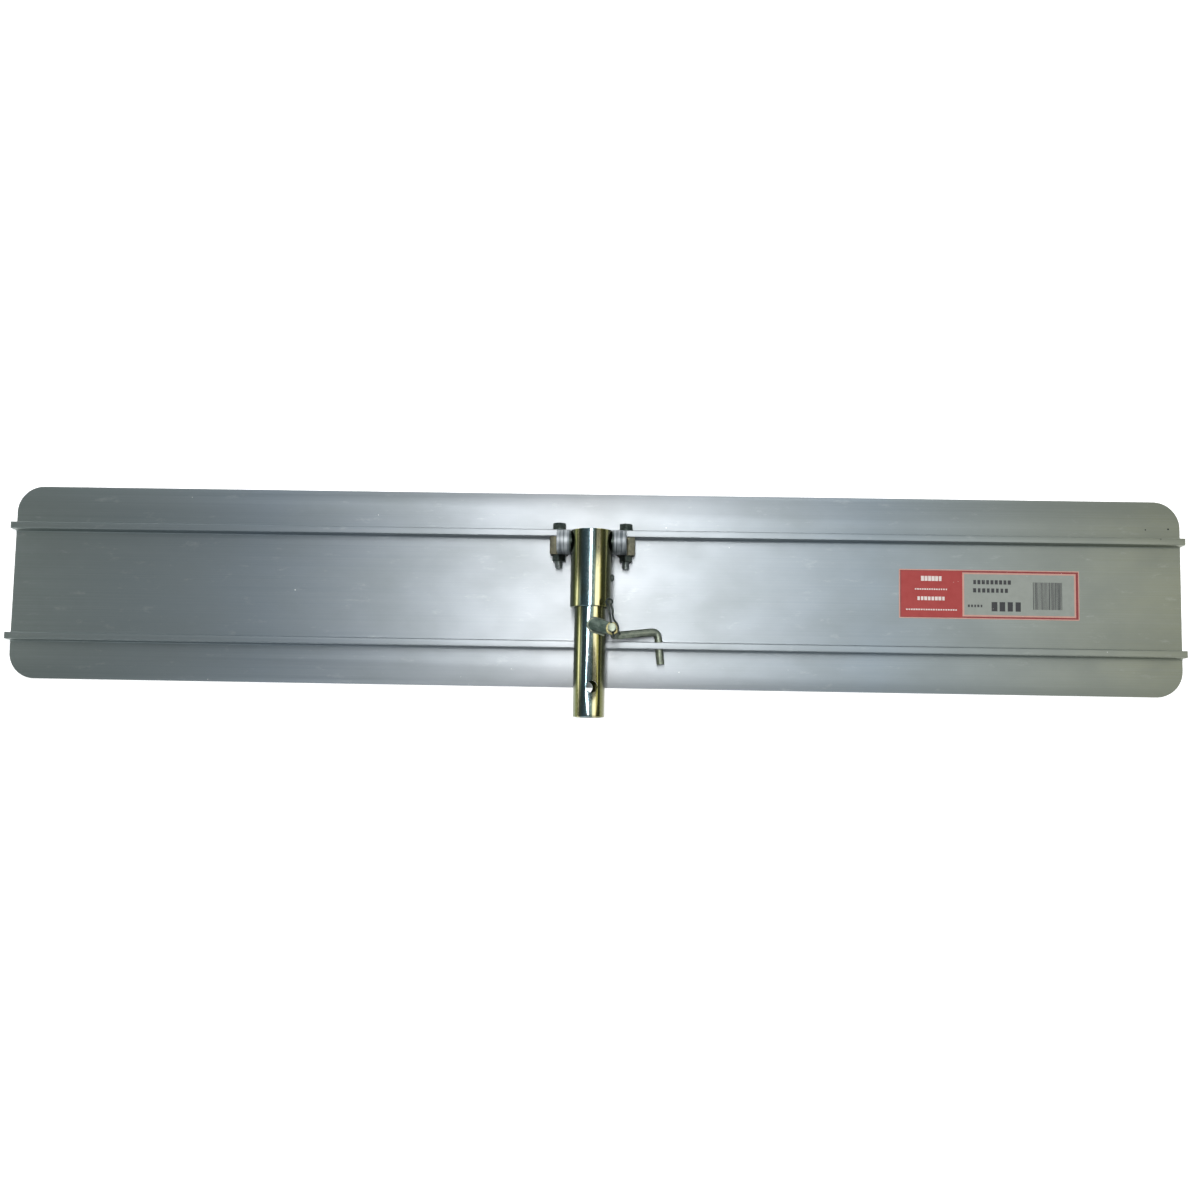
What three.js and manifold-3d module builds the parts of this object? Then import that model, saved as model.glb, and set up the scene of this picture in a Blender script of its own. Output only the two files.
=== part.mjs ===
// Bull float: a wide ribbed aluminium blade for smoothing wet concrete, with a twist-to-tilt handle hub.
// A sleeve pivots between two ears behind the front rib. The handle tube turns inside the sleeve, and a crank
// on the tube reaches sideways into a slot in the rear rib, so twisting the handle tilts the blade.
// Millimetres. +X along the blade, +Y away from the worker, +Z up. The origin is the middle of the sole.

import * as THREE from "three";
import { mergeVertices } from "three/addons/utils/BufferGeometryUtils.js";
import Module from "manifold-3d";

const wasm = await Module();
wasm.setup();

// ---- Driving dimensions ----

const BLADE_LENGTH = 1200;
const BLADE_WIDTH = 200;
const PLATE = 3.2;
const CORNER_RADIUS = 27;
const SOLE_EDGE_RADIUS = 1.5;

const RIB_WIDTH = 7;
const RIB_HEIGHT = 16;
const RIB_INSET = 42.9;
const RIB_FILLET = 2;
const RIB_EDGE_RADIUS = 0.8;

const TUBE_DIAMETER = 31.8;
const TUBE_WALL = 2.6;
const TUBE_OVERHANG = 74.3;
const TUBE_FRONT_SETBACK = 4;
const TUBE_END_RADIUS = 1.2;
const BUTTON_HOLE = 12;
const BUTTON_HOLE_INSET = 30;
const BUTTON_HOLE_TURN = THREE.MathUtils.degToRad(12);

const SLEEVE_WALL = 4;
const SLEEVE_CLEARANCE = 0.7;
const SLEEVE_FRONT = 10.6;
const SLEEVE_RIB_GAP = 1.85;
const SLEEVE_TO_PIN = 21.6;
const SLEEVE_END_RADIUS = 0.6;

const PIVOT_SETBACK = 11.7;
const PIVOT_PIN = 10;
const PIVOT_PIN_START = 0.8;
const PIVOT_WASHER = 22;
const PIVOT_WASHER_THICKNESS = 1.2;

const EAR_THICKNESS = 13;
const EAR_RADIUS = 11;
const EAR_START = THREE.MathUtils.degToRad(-34.4);
const FOOT_LENGTH = 18.5;
const FOOT_WIDTH = 18.5;
const FOOT_OFFSET = 2.8;
const FOOT_CHAMFER = 1.2;

const BOLT = 8;
const BOLT_LENGTH = 41.5;
const BOLT_BELOW_RIB_TOP = 7;
const BOLT_HEAD_FLATS = 13;
const BOLT_HEAD_THICKNESS = 5.3;
const HEX_CHAMFER = 0.35;
const BOLT_WASHER = 13.8;
const BOLT_WASHER_THICKNESS = 1.6;
const NUT_THICKNESS = 6.5;

const SCREW = 6;
const SCREW_HEAD = 7.6;
const SCREW_HEAD_THICKNESS = 3;
const SCREW_HEAD_RIM = 1;
const SCREW_SETBACK = 36.9;
const SCREW_REACH = 0.5;

const ROD = 8;
const ROD_BEND = 7;
const PIN_GAP = 6.3;
const PIN_LEAN_OUT = 2;
const PIN_LEAN_BACK = 4.7;
const PIN_TOP = 8;
const PIN_TO_RIB = 13.7;
const ARM_REACH = 45.7;
const ARM_DROP = 13;
const ARM_TO_RIB = 11.4;
const PEG_SPLAY = 3.3;
const PEG_LENGTH = 33.3;
const PEG_CLEARANCE = 1.9;
const PEG_SLOT_EASE = 1.6;

const LUG_WIDTH = 12.5;
const LUG_THICKNESS = 5.5;
const LUG_TURN = THREE.MathUtils.degToRad(-13);
const LUG_OVERLAP = 18;
const LUG_SINK = 1.8;
const CRANK_WASHER = 12.8;
const CRANK_WASHER_THICKNESS = 1.4;

const WIRE = 2;
const CLIP_TURN = THREE.MathUtils.degToRad(11);
const CLIP_REACH = 26;
const CLIP_RING = 3;
const CLIP_TAIL = 9;
const CLIP_WAIST = 2.9;
const CLIP_FLARE = 1.6;

const TILT = THREE.MathUtils.degToRad(9);
const TWIST_PER_TILT = 1.48;
const TWIST = TILT * TWIST_PER_TILT;

const LABEL_LENGTH = 183;
const LABEL_WIDTH = 50.5;
const LABEL_THICKNESS = 0.3;
const LABEL_CORNER = 1;
const LABEL_X = 405.5;
const LABEL_Y = 2;

// Clearances: between turning fits, around fixed screws and pins, and between pieces in turned groups.
const RUNNING = 0.15;
const FIXED = 0.15;
const SEAT = 0.3;

// How far a cutter runs past the face that it cuts, and joined shapes of one piece run into each other.
const PAST = 2;
const JOIN = 0.5;

// ---- Places that follow from them ----

const RIB_Y = BLADE_WIDTH / 2 - RIB_INSET;
const RIB_TOP = PLATE + RIB_HEIGHT;

const TUBE_RADIUS = TUBE_DIAMETER / 2;
const SLEEVE_BORE = TUBE_RADIUS + SLEEVE_CLEARANCE;
const SLEEVE_RADIUS = SLEEVE_BORE + SLEEVE_WALL;
const AXIS_Z = RIB_TOP + SLEEVE_RIB_GAP + SLEEVE_RADIUS;
const PIVOT_Y = RIB_Y - PIVOT_SETBACK;

const EAR_X = SLEEVE_RADIUS + PIVOT_WASHER_THICKNESS + 2 * RUNNING;
const FOOT_X = EAR_X + FOOT_OFFSET;
const FOOT_FRONT = RIB_Y - RIB_WIDTH / 2 - SEAT;
const BOLT_X = FOOT_X + FOOT_LENGTH / 2;
const BOLT_Z = RIB_TOP - BOLT_BELOW_RIB_TOP;

const PEG_Z = PLATE + RIB_HEIGHT / 2;
const PIN_X = TUBE_RADIUS + PIN_GAP;
const PIN_Y = -RIB_Y + PIN_TO_RIB;
const ARM_Y = -RIB_Y + RIB_WIDTH / 2 + ARM_TO_RIB;
const LUG_Z = AXIS_Z + TUBE_RADIUS - LUG_SINK;
const LUG_TOP = LUG_Z + LUG_THICKNESS;
const CLIP_Z = LUG_TOP + SEAT + CRANK_WASHER_THICKNESS + SEAT + WIRE / 2;

// ---- Solids ----

// Turns a closed three.js geometry into a solid whose faces point outwards.
function solid(geometry) {
  const bare = geometry.clone();
  bare.deleteAttribute("normal");
  bare.deleteAttribute("uv");
  const merged = mergeVertices(bare, 1e-4);
  const triVerts = new Uint32Array(merged.index.array);
  const vertProperties = merged.attributes.position.array;
  if (signedVolume(vertProperties, triVerts) < 0) {
    for (let i = 0; i < triVerts.length; i += 3) {
      [triVerts[i + 1], triVerts[i + 2]] = [triVerts[i + 2], triVerts[i + 1]];
    }
  }
  return new wasm.Manifold(new wasm.Mesh({ numProp: 3, vertProperties, triVerts }));
}

// Six times the volume that the triangles enclose, negative if they face inwards.
function signedVolume(points, triangles) {
  const [a, b, c] = [0, 1, 2].map(() => new THREE.Vector3());
  let total = 0;
  for (let i = 0; i < triangles.length; i += 3) {
    a.fromArray(points, 3 * triangles[i]);
    b.fromArray(points, 3 * triangles[i + 1]);
    c.fromArray(points, 3 * triangles[i + 2]);
    total += a.dot(b.cross(c));
  }
  return total;
}

// Turns a solid back into a geometry that a mesh can hold.
function geometryOf(manifold) {
  const mesh = manifold.getMesh();
  const geometry = new THREE.BufferGeometry();
  geometry.setAttribute("position", new THREE.BufferAttribute(mesh.vertProperties, 3));
  geometry.setIndex(new THREE.BufferAttribute(mesh.triVerts, 1));
  geometry.computeVertexNormals();
  return geometry;
}

// A closed outline in (y, z), drawn out along +X from x = 0.
function alongX(shape, depth, curveSegments = 12) {
  const geometry = new THREE.ExtrudeGeometry(shape, { depth, bevelEnabled: false, curveSegments });
  const axes = [new THREE.Vector3(0, 1, 0), new THREE.Vector3(0, 0, 1), new THREE.Vector3(1, 0, 0)];
  return geometry.applyMatrix4(new THREE.Matrix4().makeBasis(...axes));
}

// A round bar centred on the origin, lying along X, Y or Z.
function bar(axis, radius, length, segments = 32) {
  const geometry = new THREE.CylinderGeometry(radius, radius, length, segments);
  if (axis === "x") geometry.rotateZ(-Math.PI / 2);
  if (axis === "z") geometry.rotateX(Math.PI / 2);
  return geometry;
}

// A tube along Y whose bore is open at both ends, with rounded outer edges.
function tubeAlongY(outer, inner, rear, front, edge, segments = 48) {
  const wall = new THREE.Path();
  wall.moveTo(inner, rear);
  wall.lineTo(outer - edge, rear);
  wall.absarc(outer - edge, rear + edge, edge, -Math.PI / 2, 0, false);
  wall.lineTo(outer, front - edge);
  wall.absarc(outer - edge, front - edge, edge, 0, Math.PI / 2, false);
  wall.lineTo(inner, front);
  wall.lineTo(inner, rear);
  return new THREE.LatheGeometry(wall.getPoints(1), segments);
}

// A flat ring around a hole, with its axis along X, Y or Z and its middle at the origin.
function washer(axis, outerDiameter, holeRadius, thickness) {
  const half = thickness / 2;
  const profile = [
    new THREE.Vector2(holeRadius, -half),
    new THREE.Vector2(outerDiameter / 2, -half),
    new THREE.Vector2(outerDiameter / 2, half),
    new THREE.Vector2(holeRadius, half),
    new THREE.Vector2(holeRadius, -half),
  ];
  const geometry = new THREE.LatheGeometry(profile, 32);
  if (axis === "x") geometry.rotateZ(-Math.PI / 2);
  if (axis === "z") geometry.rotateX(Math.PI / 2);
  return geometry;
}

// A hexagonal prism along Y with a cone-chamfered rim at its front end, standing on y = 0.
function hexagon(flats, thickness) {
  const corner = flats / Math.sqrt(3);
  const rim = corner - flats / 2;
  const prism = new THREE.CylinderGeometry(corner, corner, thickness, 6).translate(0, thickness / 2, 0);
  const cone = new THREE.CylinderGeometry(flats / 2, corner + thickness, thickness + rim, 36);
  cone.translate(0, (thickness - rim) / 2 + HEX_CHAMFER, 0);
  return solid(prism).intersect(solid(cone));
}

// A round wire or rod that follows a curve.
function wireAlong(curve, radius, steps, sides) {
  const section = new THREE.Shape();
  section.absarc(0, 0, radius, 0, 2 * Math.PI, false);
  return new THREE.ExtrudeGeometry(section, { steps, extrudePath: curve, curveSegments: sides });
}

// ---- Finishes ----

const FINISHES = {
  aluminium: { color: "#9aa3a6", roughness: 0.42, metalness: 1 },
  brightKnuckle: { color: "#c3c8ca", roughness: 0.34, metalness: 1 },
  yellowZinc: { color: "#a39a5e", roughness: 0.33, metalness: 1 },
  oliveZinc: { color: "#7d7a5f", roughness: 0.45, metalness: 1 },
  darkZinc: { color: "#565c5a", roughness: 0.4, metalness: 1 },
  label: { color: "#d8332f", roughness: 0.45, metalness: 0 },
};

// Every piece is a mesh with a material of its own.
function piece(name, geometry, finish, parent) {
  const shape = geometry.isBufferGeometry ? geometry : geometryOf(geometry);
  const mesh = new THREE.Mesh(shape, new THREE.MeshStandardMaterial(FINISHES[finish]));
  mesh.name = name;
  parent.add(mesh);
  return mesh;
}

// ---- Blade ----

// The extrusion's section in (y, z): a flat plate with two ribs on its upper side.
function bladeSection() {
  const half = BLADE_WIDTH / 2;
  const section = new THREE.Shape();
  section.moveTo(-half + SOLE_EDGE_RADIUS, 0);
  section.lineTo(half - SOLE_EDGE_RADIUS, 0);
  section.absarc(half - SOLE_EDGE_RADIUS, SOLE_EDGE_RADIUS, SOLE_EDGE_RADIUS, -Math.PI / 2, 0, false);
  section.lineTo(half, PLATE);
  for (const y of [RIB_Y, -RIB_Y]) {
    const front = y + RIB_WIDTH / 2;
    const rear = y - RIB_WIDTH / 2;
    const [fillet, edge] = [RIB_FILLET, RIB_EDGE_RADIUS];
    section.lineTo(front + fillet, PLATE);
    section.absarc(front + fillet, PLATE + fillet, fillet, -Math.PI / 2, Math.PI, true);
    section.lineTo(front, RIB_TOP - edge);
    section.absarc(front - edge, RIB_TOP - edge, edge, 0, Math.PI / 2, false);
    section.lineTo(rear + edge, RIB_TOP);
    section.absarc(rear + edge, RIB_TOP - edge, edge, Math.PI / 2, Math.PI, false);
    section.lineTo(rear, PLATE + fillet);
    section.absarc(rear - fillet, PLATE + fillet, fillet, 0, -Math.PI / 2, true);
  }
  section.lineTo(-half, PLATE);
  section.lineTo(-half, SOLE_EDGE_RADIUS);
  const round = SOLE_EDGE_RADIUS;
  section.absarc(-half + round, round, round, Math.PI, 1.5 * Math.PI, false);
  return section;
}

// The blade's outline from above: a long rectangle with round corners.
function roundedOutline(length, width, radius) {
  const [x, y] = [length / 2, width / 2];
  const outline = new THREE.Shape();
  outline.moveTo(-x + radius, -y);
  outline.absarc(x - radius, -y + radius, radius, -Math.PI / 2, 0, false);
  outline.absarc(x - radius, y - radius, radius, 0, Math.PI / 2, false);
  outline.absarc(-x + radius, y - radius, radius, Math.PI / 2, Math.PI, false);
  outline.absarc(-x + radius, -y + radius, radius, Math.PI, 1.5 * Math.PI, false);
  return outline;
}

// The cutter for the rear rib's slot: as long as the peg's travel sideways from rest to full twist, and
// taller than the peg, because the peg leans with the tube when the blade tilts.
function pegSlot() {
  const rest = PIN_X + ARM_REACH + PEG_SPLAY;
  const twisted = rest * Math.cos(TWIST) - (AXIS_Z - PEG_Z) * Math.sin(TWIST);
  const radius = ROD / 2 + PEG_CLEARANCE;
  const outline = new THREE.Shape();
  outline.absarc(rest - PEG_SPLAY / 4, PEG_Z, radius, -Math.PI / 2, Math.PI / 2, false);
  outline.absarc(twisted - PEG_SLOT_EASE, PEG_Z, radius, Math.PI / 2, 1.5 * Math.PI, false);
  const depth = RIB_WIDTH + 2 * (RIB_FILLET + PAST);
  const geometry = new THREE.ExtrudeGeometry(outline, { depth, bevelEnabled: false, curveSegments: 8 });
  geometry.rotateX(Math.PI / 2);
  return geometry.translate(0, -RIB_Y + depth / 2, 0);
}

function makeBlade(parent) {
  const section = alongX(bladeSection(), BLADE_LENGTH, 2).translate(-BLADE_LENGTH / 2, 0, 0);
  const outline = roundedOutline(BLADE_LENGTH, BLADE_WIDTH, CORNER_RADIUS);
  const depth = RIB_TOP + 2 * PAST;
  const plan = new THREE.ExtrudeGeometry(outline, { depth, bevelEnabled: false, curveSegments: 8 });
  let blade = solid(section).intersect(solid(plan.translate(0, 0, -PAST)));
  for (const side of [-1, 1]) {
    const length = RIB_WIDTH + 2 * (RIB_FILLET + PAST);
    const hole = bar("y", BOLT / 2 + FIXED, length).translate(side * BOLT_X, RIB_Y, BOLT_Z);
    blade = blade.subtract(solid(hole));
  }
  blade = blade.subtract(solid(pegSlot()));
  piece("blade", blade, "aluminium", parent);
}

function makeLabel(parent) {
  const outline = roundedOutline(LABEL_LENGTH, LABEL_WIDTH, LABEL_CORNER);
  const depth = LABEL_THICKNESS;
  const sheet = new THREE.ExtrudeGeometry(outline, { depth, bevelEnabled: false, curveSegments: 2 });
  piece("label", sheet, "label", parent).position.set(LABEL_X, LABEL_Y, PLATE);
}

// ---- Brackets: the same on both sides, mirrored by side = -1 or 1 ----

// The steel block behind the front rib that the clamp bolt pulls against it.
function makeFoot(name, side, parent) {
  const [x, y, c] = [FOOT_LENGTH / 2, FOOT_WIDTH, FOOT_CHAMFER];
  const outline = new THREE.Shape();
  outline.moveTo(-x, 0);
  outline.lineTo(-x, -y + c);
  outline.lineTo(-x + c, -y);
  outline.lineTo(x - c, -y);
  outline.lineTo(x, -y + c);
  outline.lineTo(x, 0);
  const relief = RIB_FILLET + SEAT;
  const block = new THREE.ExtrudeGeometry(outline, { depth: RIB_HEIGHT, bevelEnabled: false });
  const corner = new THREE.BoxGeometry(FOOT_LENGTH + PAST, 2 * relief, 2 * relief);
  const hole = bar("y", BOLT / 2 + FIXED, 3 * FOOT_WIDTH).translate(0, 0, BOLT_Z - PLATE);
  const foot = solid(block).subtract(solid(corner)).subtract(solid(hole));
  piece(name, foot, "oliveZinc", parent).position.set(side * BOLT_X, FOOT_FRONT, PLATE);
}

// The ear's outline in (y, z) about the pivot: a round knuckle on a stem as deep as the foot.
function earOutline() {
  const front = FOOT_FRONT - PIVOT_Y;
  const rear = front - FOOT_WIDTH;
  const bottom = RIB_TOP - AXIS_Z;
  const outline = new THREE.Shape();
  outline.moveTo(rear, bottom);
  outline.lineTo(front, bottom);
  outline.absarc(0, 0, EAR_RADIUS, EAR_START, Math.PI, false);
  return outline;
}

// The upright that carries the pivot, welded on the foot.
function makeEar(name, side, parent) {
  const body = alongX(earOutline(), EAR_THICKNESS, 20).translate(-EAR_THICKNESS / 2, 0, 0);
  const hole = bar("x", PIVOT_PIN / 2 + RUNNING, EAR_THICKNESS + 2 * PAST, 40);
  const ear = solid(body).subtract(solid(hole));
  const x = side * (EAR_X + EAR_THICKNESS / 2);
  piece(name, ear, "brightKnuckle", parent).position.set(x, PIVOT_Y, AXIS_Z);
}

// A hexagon bolt with its head in front of the rib, its washer, and its nut behind the foot.
function makeClamp(sideName, side, parent) {
  const group = new THREE.Group();
  group.position.set(side * BOLT_X, RIB_Y + RIB_WIDTH / 2, BOLT_Z);
  parent.add(group);

  const shank = bar("y", BOLT / 2, BOLT_LENGTH, 24).translate(0, -BOLT_LENGTH / 2 + JOIN, 0);
  const bolt = hexagon(BOLT_HEAD_FLATS, BOLT_HEAD_THICKNESS).add(solid(shank));
  piece(`clamp_bolt_${sideName}`, bolt, "darkZinc", group).position.y = BOLT_WASHER_THICKNESS;

  const ring = washer("y", BOLT_WASHER, BOLT / 2 + FIXED, BOLT_WASHER_THICKNESS);
  piece(`clamp_washer_${sideName}`, ring, "darkZinc", group).position.y = BOLT_WASHER_THICKNESS / 2;

  const hole = bar("y", BOLT / 2 + FIXED, 4 * NUT_THICKNESS, 24);
  const hexagonRing = hexagon(BOLT_HEAD_FLATS, NUT_THICKNESS).subtract(solid(hole));
  const nut = piece(`clamp_nut_${sideName}`, hexagonRing, "darkZinc", group);
  nut.rotation.z = Math.PI;
  nut.position.y = FOOT_FRONT - FOOT_WIDTH - (RIB_Y + RIB_WIDTH / 2);
}

// ---- Hub: sleeve, pivots and retaining screw, about the pivot axis ----

const SLEEVE_REAR = PIN_Y + SLEEVE_TO_PIN - PIVOT_Y;
const SCREW_Y = -SCREW_SETBACK;

function makeSleeve(parent) {
  const pivotHole = bar("x", PIVOT_PIN / 2 + FIXED, 4 * SLEEVE_RADIUS, 40);
  const screwHole = bar("x", SCREW / 2 + FIXED, 2 * SLEEVE_RADIUS).translate(SLEEVE_RADIUS, SCREW_Y, 0);
  const tube = solid(tubeAlongY(SLEEVE_RADIUS, SLEEVE_BORE, SLEEVE_REAR, SLEEVE_FRONT, SLEEVE_END_RADIUS));
  piece("outer_sleeve", tube.subtract(solid(pivotHole)).subtract(solid(screwHole)), "yellowZinc", parent);
}

// A pivot pin starts inside the sleeve's wall and ends flush with its ear's outer face.
function makePivot(sideName, side, parent) {
  const inner = SLEEVE_BORE + PIVOT_PIN_START;
  const outer = EAR_X + EAR_THICKNESS;
  const pin = bar("x", PIVOT_PIN / 2, outer - inner, 40);
  piece(`pivot_pin_${sideName}`, pin, "darkZinc", parent).position.x = (side * (inner + outer)) / 2;

  const ring = washer("x", PIVOT_WASHER, PIVOT_PIN / 2 + FIXED, PIVOT_WASHER_THICKNESS);
  const x = side * (SLEEVE_RADIUS + RUNNING + PIVOT_WASHER_THICKNESS / 2);
  piece(`pivot_washer_${sideName}`, ring, "darkZinc", parent).position.x = x;
}

// The screw's plain end reaches through the sleeve into a slot around the handle tube.
function makeRetainingScrew(parent) {
  const tip = TUBE_RADIUS - TUBE_WALL - SCREW_REACH;
  const top = SLEEVE_RADIUS + FIXED + JOIN;
  const shank = bar("x", SCREW / 2, top - tip, 24).translate((top + tip) / 2, 0, 0);
  const dome = new THREE.Path();
  dome.moveTo(0, 0);
  dome.lineTo(SCREW_HEAD / 2, 0);
  dome.lineTo(SCREW_HEAD / 2, SCREW_HEAD_RIM);
  dome.quadraticCurveTo(SCREW_HEAD / 2, SCREW_HEAD_THICKNESS, 0, SCREW_HEAD_THICKNESS);
  const head = new THREE.LatheGeometry(dome.getPoints(6), 32).rotateZ(-Math.PI / 2);
  head.translate(SLEEVE_RADIUS + FIXED, 0, 0);
  piece("retaining_screw", solid(head).add(solid(shank)), "darkZinc", parent).position.y = SCREW_Y;
}

// ---- Handle tube ----

// The slot around the tube lets the tube turn by TWIST under the retaining screw, and no further.
function screwSlot() {
  const side = Math.asin((SCREW / 2 + SEAT) / (TUBE_RADIUS - TUBE_WALL));
  const [inner, outer] = [TUBE_RADIUS - TUBE_WALL - PAST, TUBE_RADIUS + PAST];
  const sector = new THREE.Shape();
  sector.absarc(0, 0, outer, -side, TWIST + side, false);
  sector.absarc(0, 0, inner, TWIST + side, -side, true);
  const depth = SCREW + 2 * SEAT;
  const cutter = new THREE.ExtrudeGeometry(sector, { depth, bevelEnabled: false, curveSegments: 12 });
  return cutter.rotateX(Math.PI / 2).translate(0, SCREW_Y + depth / 2, 0);
}

function makeHandleTube(parent) {
  const rear = -RIB_Y - TUBE_OVERHANG - PIVOT_Y;
  const front = SLEEVE_FRONT - TUBE_FRONT_SETBACK;
  const tube = tubeAlongY(TUBE_RADIUS, TUBE_RADIUS - TUBE_WALL, rear, front, TUBE_END_RADIUS);
  const hole = bar("z", BUTTON_HOLE / 2, 3 * TUBE_DIAMETER).rotateY(BUTTON_HOLE_TURN);
  hole.translate(0, rear + BUTTON_HOLE_INSET, 0);
  piece("handle_tube", solid(tube).subtract(solid(hole)).subtract(solid(screwSlot())), "yellowZinc", parent);
}

// ---- Crank: lug, rod, washer and clip, in the blade's own coordinates ----

// The rod's line: down beside the tube, outwards and down along the rear rib, then back through its slot.
function crankCorners() {
  return [
    new THREE.Vector3(PIN_X, PIN_Y, LUG_TOP + PIN_TOP),
    new THREE.Vector3(PIN_X + PIN_LEAN_OUT, PIN_Y - PIN_LEAN_BACK, PEG_Z + ARM_DROP),
    new THREE.Vector3(PIN_X + ARM_REACH, ARM_Y, PEG_Z),
    new THREE.Vector3(PIN_X + ARM_REACH + PEG_SPLAY, ARM_Y - PEG_LENGTH, PEG_Z),
  ];
}

// A line through corners, rounded at each inner corner by a bend of one radius.
function bentLine(corners, radius) {
  const line = new THREE.CurvePath();
  let from = corners[0];
  for (let i = 1; i < corners.length - 1; i += 1) {
    const back = corners[i - 1].clone().sub(corners[i]).normalize();
    const ahead = corners[i + 1].clone().sub(corners[i]).normalize();
    const trim = radius / Math.tan(back.angleTo(ahead) / 2);
    const start = corners[i].clone().addScaledVector(back, trim);
    const end = corners[i].clone().addScaledVector(ahead, trim);
    line.add(new THREE.LineCurve3(from, start));
    line.add(new THREE.QuadraticBezierCurve3(start, corners[i], end));
    from = end;
  }
  line.add(new THREE.LineCurve3(from, corners[corners.length - 1]));
  return line;
}

// The pin's axis where it crosses a given height.
function pinAt(z) {
  const [top, bend] = crankCorners();
  return top.clone().lerp(bend, (top.z - z) / (top.z - bend.z));
}

// A cutter or bar along the leaning pin, centred where the pin crosses a height.
function alongPin(radius, length, z, segments = 32) {
  const [top, bend] = crankCorners();
  const up = top.clone().sub(bend).normalize();
  const lean = new THREE.Quaternion().setFromUnitVectors(new THREE.Vector3(0, 1, 0), up);
  return bar("y", radius, length, segments).applyQuaternion(lean).translate(...pinAt(z).toArray());
}

// A flat bar with round ends, coped to sit on the tube, with the pin through its outer end.
function makeLug(parent) {
  const radius = LUG_WIDTH / 2;
  const outline = new THREE.Shape();
  outline.absarc(0, 0, radius, -Math.PI / 2, Math.PI / 2, false);
  outline.absarc(-LUG_OVERLAP, 0, radius, Math.PI / 2, 1.5 * Math.PI, false);
  const depth = LUG_THICKNESS;
  const plate = new THREE.ExtrudeGeometry(outline, { depth, bevelEnabled: false, curveSegments: 12 });
  const middle = pinAt(LUG_TOP - LUG_THICKNESS / 2);
  plate.rotateZ(LUG_TURN).translate(middle.x, middle.y, LUG_Z);
  const cope = bar("y", TUBE_RADIUS + SEAT, 4 * LUG_WIDTH, 64).translate(0, middle.y, AXIS_Z);
  const hole = alongPin(ROD / 2 + SEAT, 4 * LUG_THICKNESS, LUG_Z);
  piece("crank_lug", solid(plate).subtract(solid(cope)).subtract(solid(hole)), "oliveZinc", parent);
}

function makeCrankRod(parent) {
  const rod = wireAlong(bentLine(crankCorners(), ROD_BEND), ROD / 2, 48, 6);
  const hole = bar("y", WIRE / 2 + SEAT, 4 * ROD, 24).rotateZ(CLIP_TURN);
  hole.translate(...pinAt(CLIP_Z).toArray());
  piece("crank_rod", solid(rod).subtract(solid(hole)), "oliveZinc", parent);
}

function makeCrankWasher(parent) {
  const z = LUG_TOP + SEAT + CRANK_WASHER_THICKNESS / 2;
  const disc = bar("z", CRANK_WASHER / 2, CRANK_WASHER_THICKNESS, 40).translate(...pinAt(z).toArray());
  const hole = alongPin(ROD / 2 + SEAT, 6 * CRANK_WASHER_THICKNESS, z);
  piece("crank_washer", solid(disc).subtract(solid(hole)), "yellowZinc", parent);
}

// A spring clip of one wire: a straight leg through the pin, a ring, and a leg that bows round the pin.
function clipCurve() {
  const clear = (ROD + WIRE) / 2 + SEAT;
  const points = [new THREE.Vector3(0, -CLIP_TAIL, 0), new THREE.Vector3(0, 0, 0)];
  points.push(new THREE.Vector3(0, CLIP_REACH / 2 - WIRE / 2, 0));
  const ring = new THREE.Vector3(0.55 * CLIP_RING, CLIP_REACH, 0);
  for (let degrees = 235; degrees >= -55; degrees -= 29) {
    const angle = THREE.MathUtils.degToRad(degrees);
    const spoke = new THREE.Vector3(Math.cos(angle), Math.sin(angle), 0);
    points.push(spoke.multiplyScalar(CLIP_RING).add(ring));
  }
  points.push(new THREE.Vector3(CLIP_WAIST + 0.7, CLIP_REACH - ROD, 0));
  points.push(new THREE.Vector3(CLIP_WAIST, CLIP_REACH / 2, 0));
  points.push(new THREE.Vector3(CLIP_WAIST + 0.3, ROD, 0));
  points.push(new THREE.Vector3(clear + 0.1, ROD / 2 - 0.6, 0));
  points.push(new THREE.Vector3(clear + 0.6, 0, 0));
  points.push(new THREE.Vector3(clear + 0.3, -ROD / 2, 0));
  points.push(new THREE.Vector3(clear + CLIP_FLARE, 1 - CLIP_TAIL, 0));
  return new THREE.CatmullRomCurve3(points, false, "centripetal");
}

function makeClip(parent) {
  const clip = piece("r_clip", wireAlong(clipCurve(), WIRE / 2, 72, 4), "darkZinc", parent);
  clip.position.copy(pinAt(CLIP_Z));
  clip.rotation.z = CLIP_TURN;
}

// ---- Assembly ----

const bullFloat = new THREE.Group();
makeBlade(bullFloat);
makeLabel(bullFloat);

const hub = new THREE.Group();
hub.position.set(0, PIVOT_Y, AXIS_Z);
bullFloat.add(hub);
makeSleeve(hub);
makeRetainingScrew(hub);
makeHandleTube(hub);

for (const [sideName, side] of [["left", -1], ["right", 1]]) {
  makeFoot(`bracket_foot_${sideName}`, side, bullFloat);
  makeEar(`pivot_ear_${sideName}`, side, bullFloat);
  makeClamp(sideName, side, bullFloat);
  makePivot(sideName, side, hub);
}

const crank = new THREE.Group();
bullFloat.add(crank);
makeLug(crank);
makeCrankRod(crank);
makeCrankWasher(crank);
makeClip(crank);

export default bullFloat;
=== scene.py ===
# %% [markdown]
# # A bull float, dressed in its real metals
# A bull float is a long ribbed aluminium blade that smooths wet concrete. A sleeve pivots behind its front
# rib, a handle tube turns in the sleeve, and a bent crank tilts the blade as the handle is twisted.
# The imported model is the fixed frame: it says where every piece is and which body it moves with. This lesson
# makes the fine surface of each piece around that frame, one piece or one finish at a time.

# %% Load the frame and keep its box
import math
import bmesh
import bpy
from mathutils import Matrix, Vector


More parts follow.
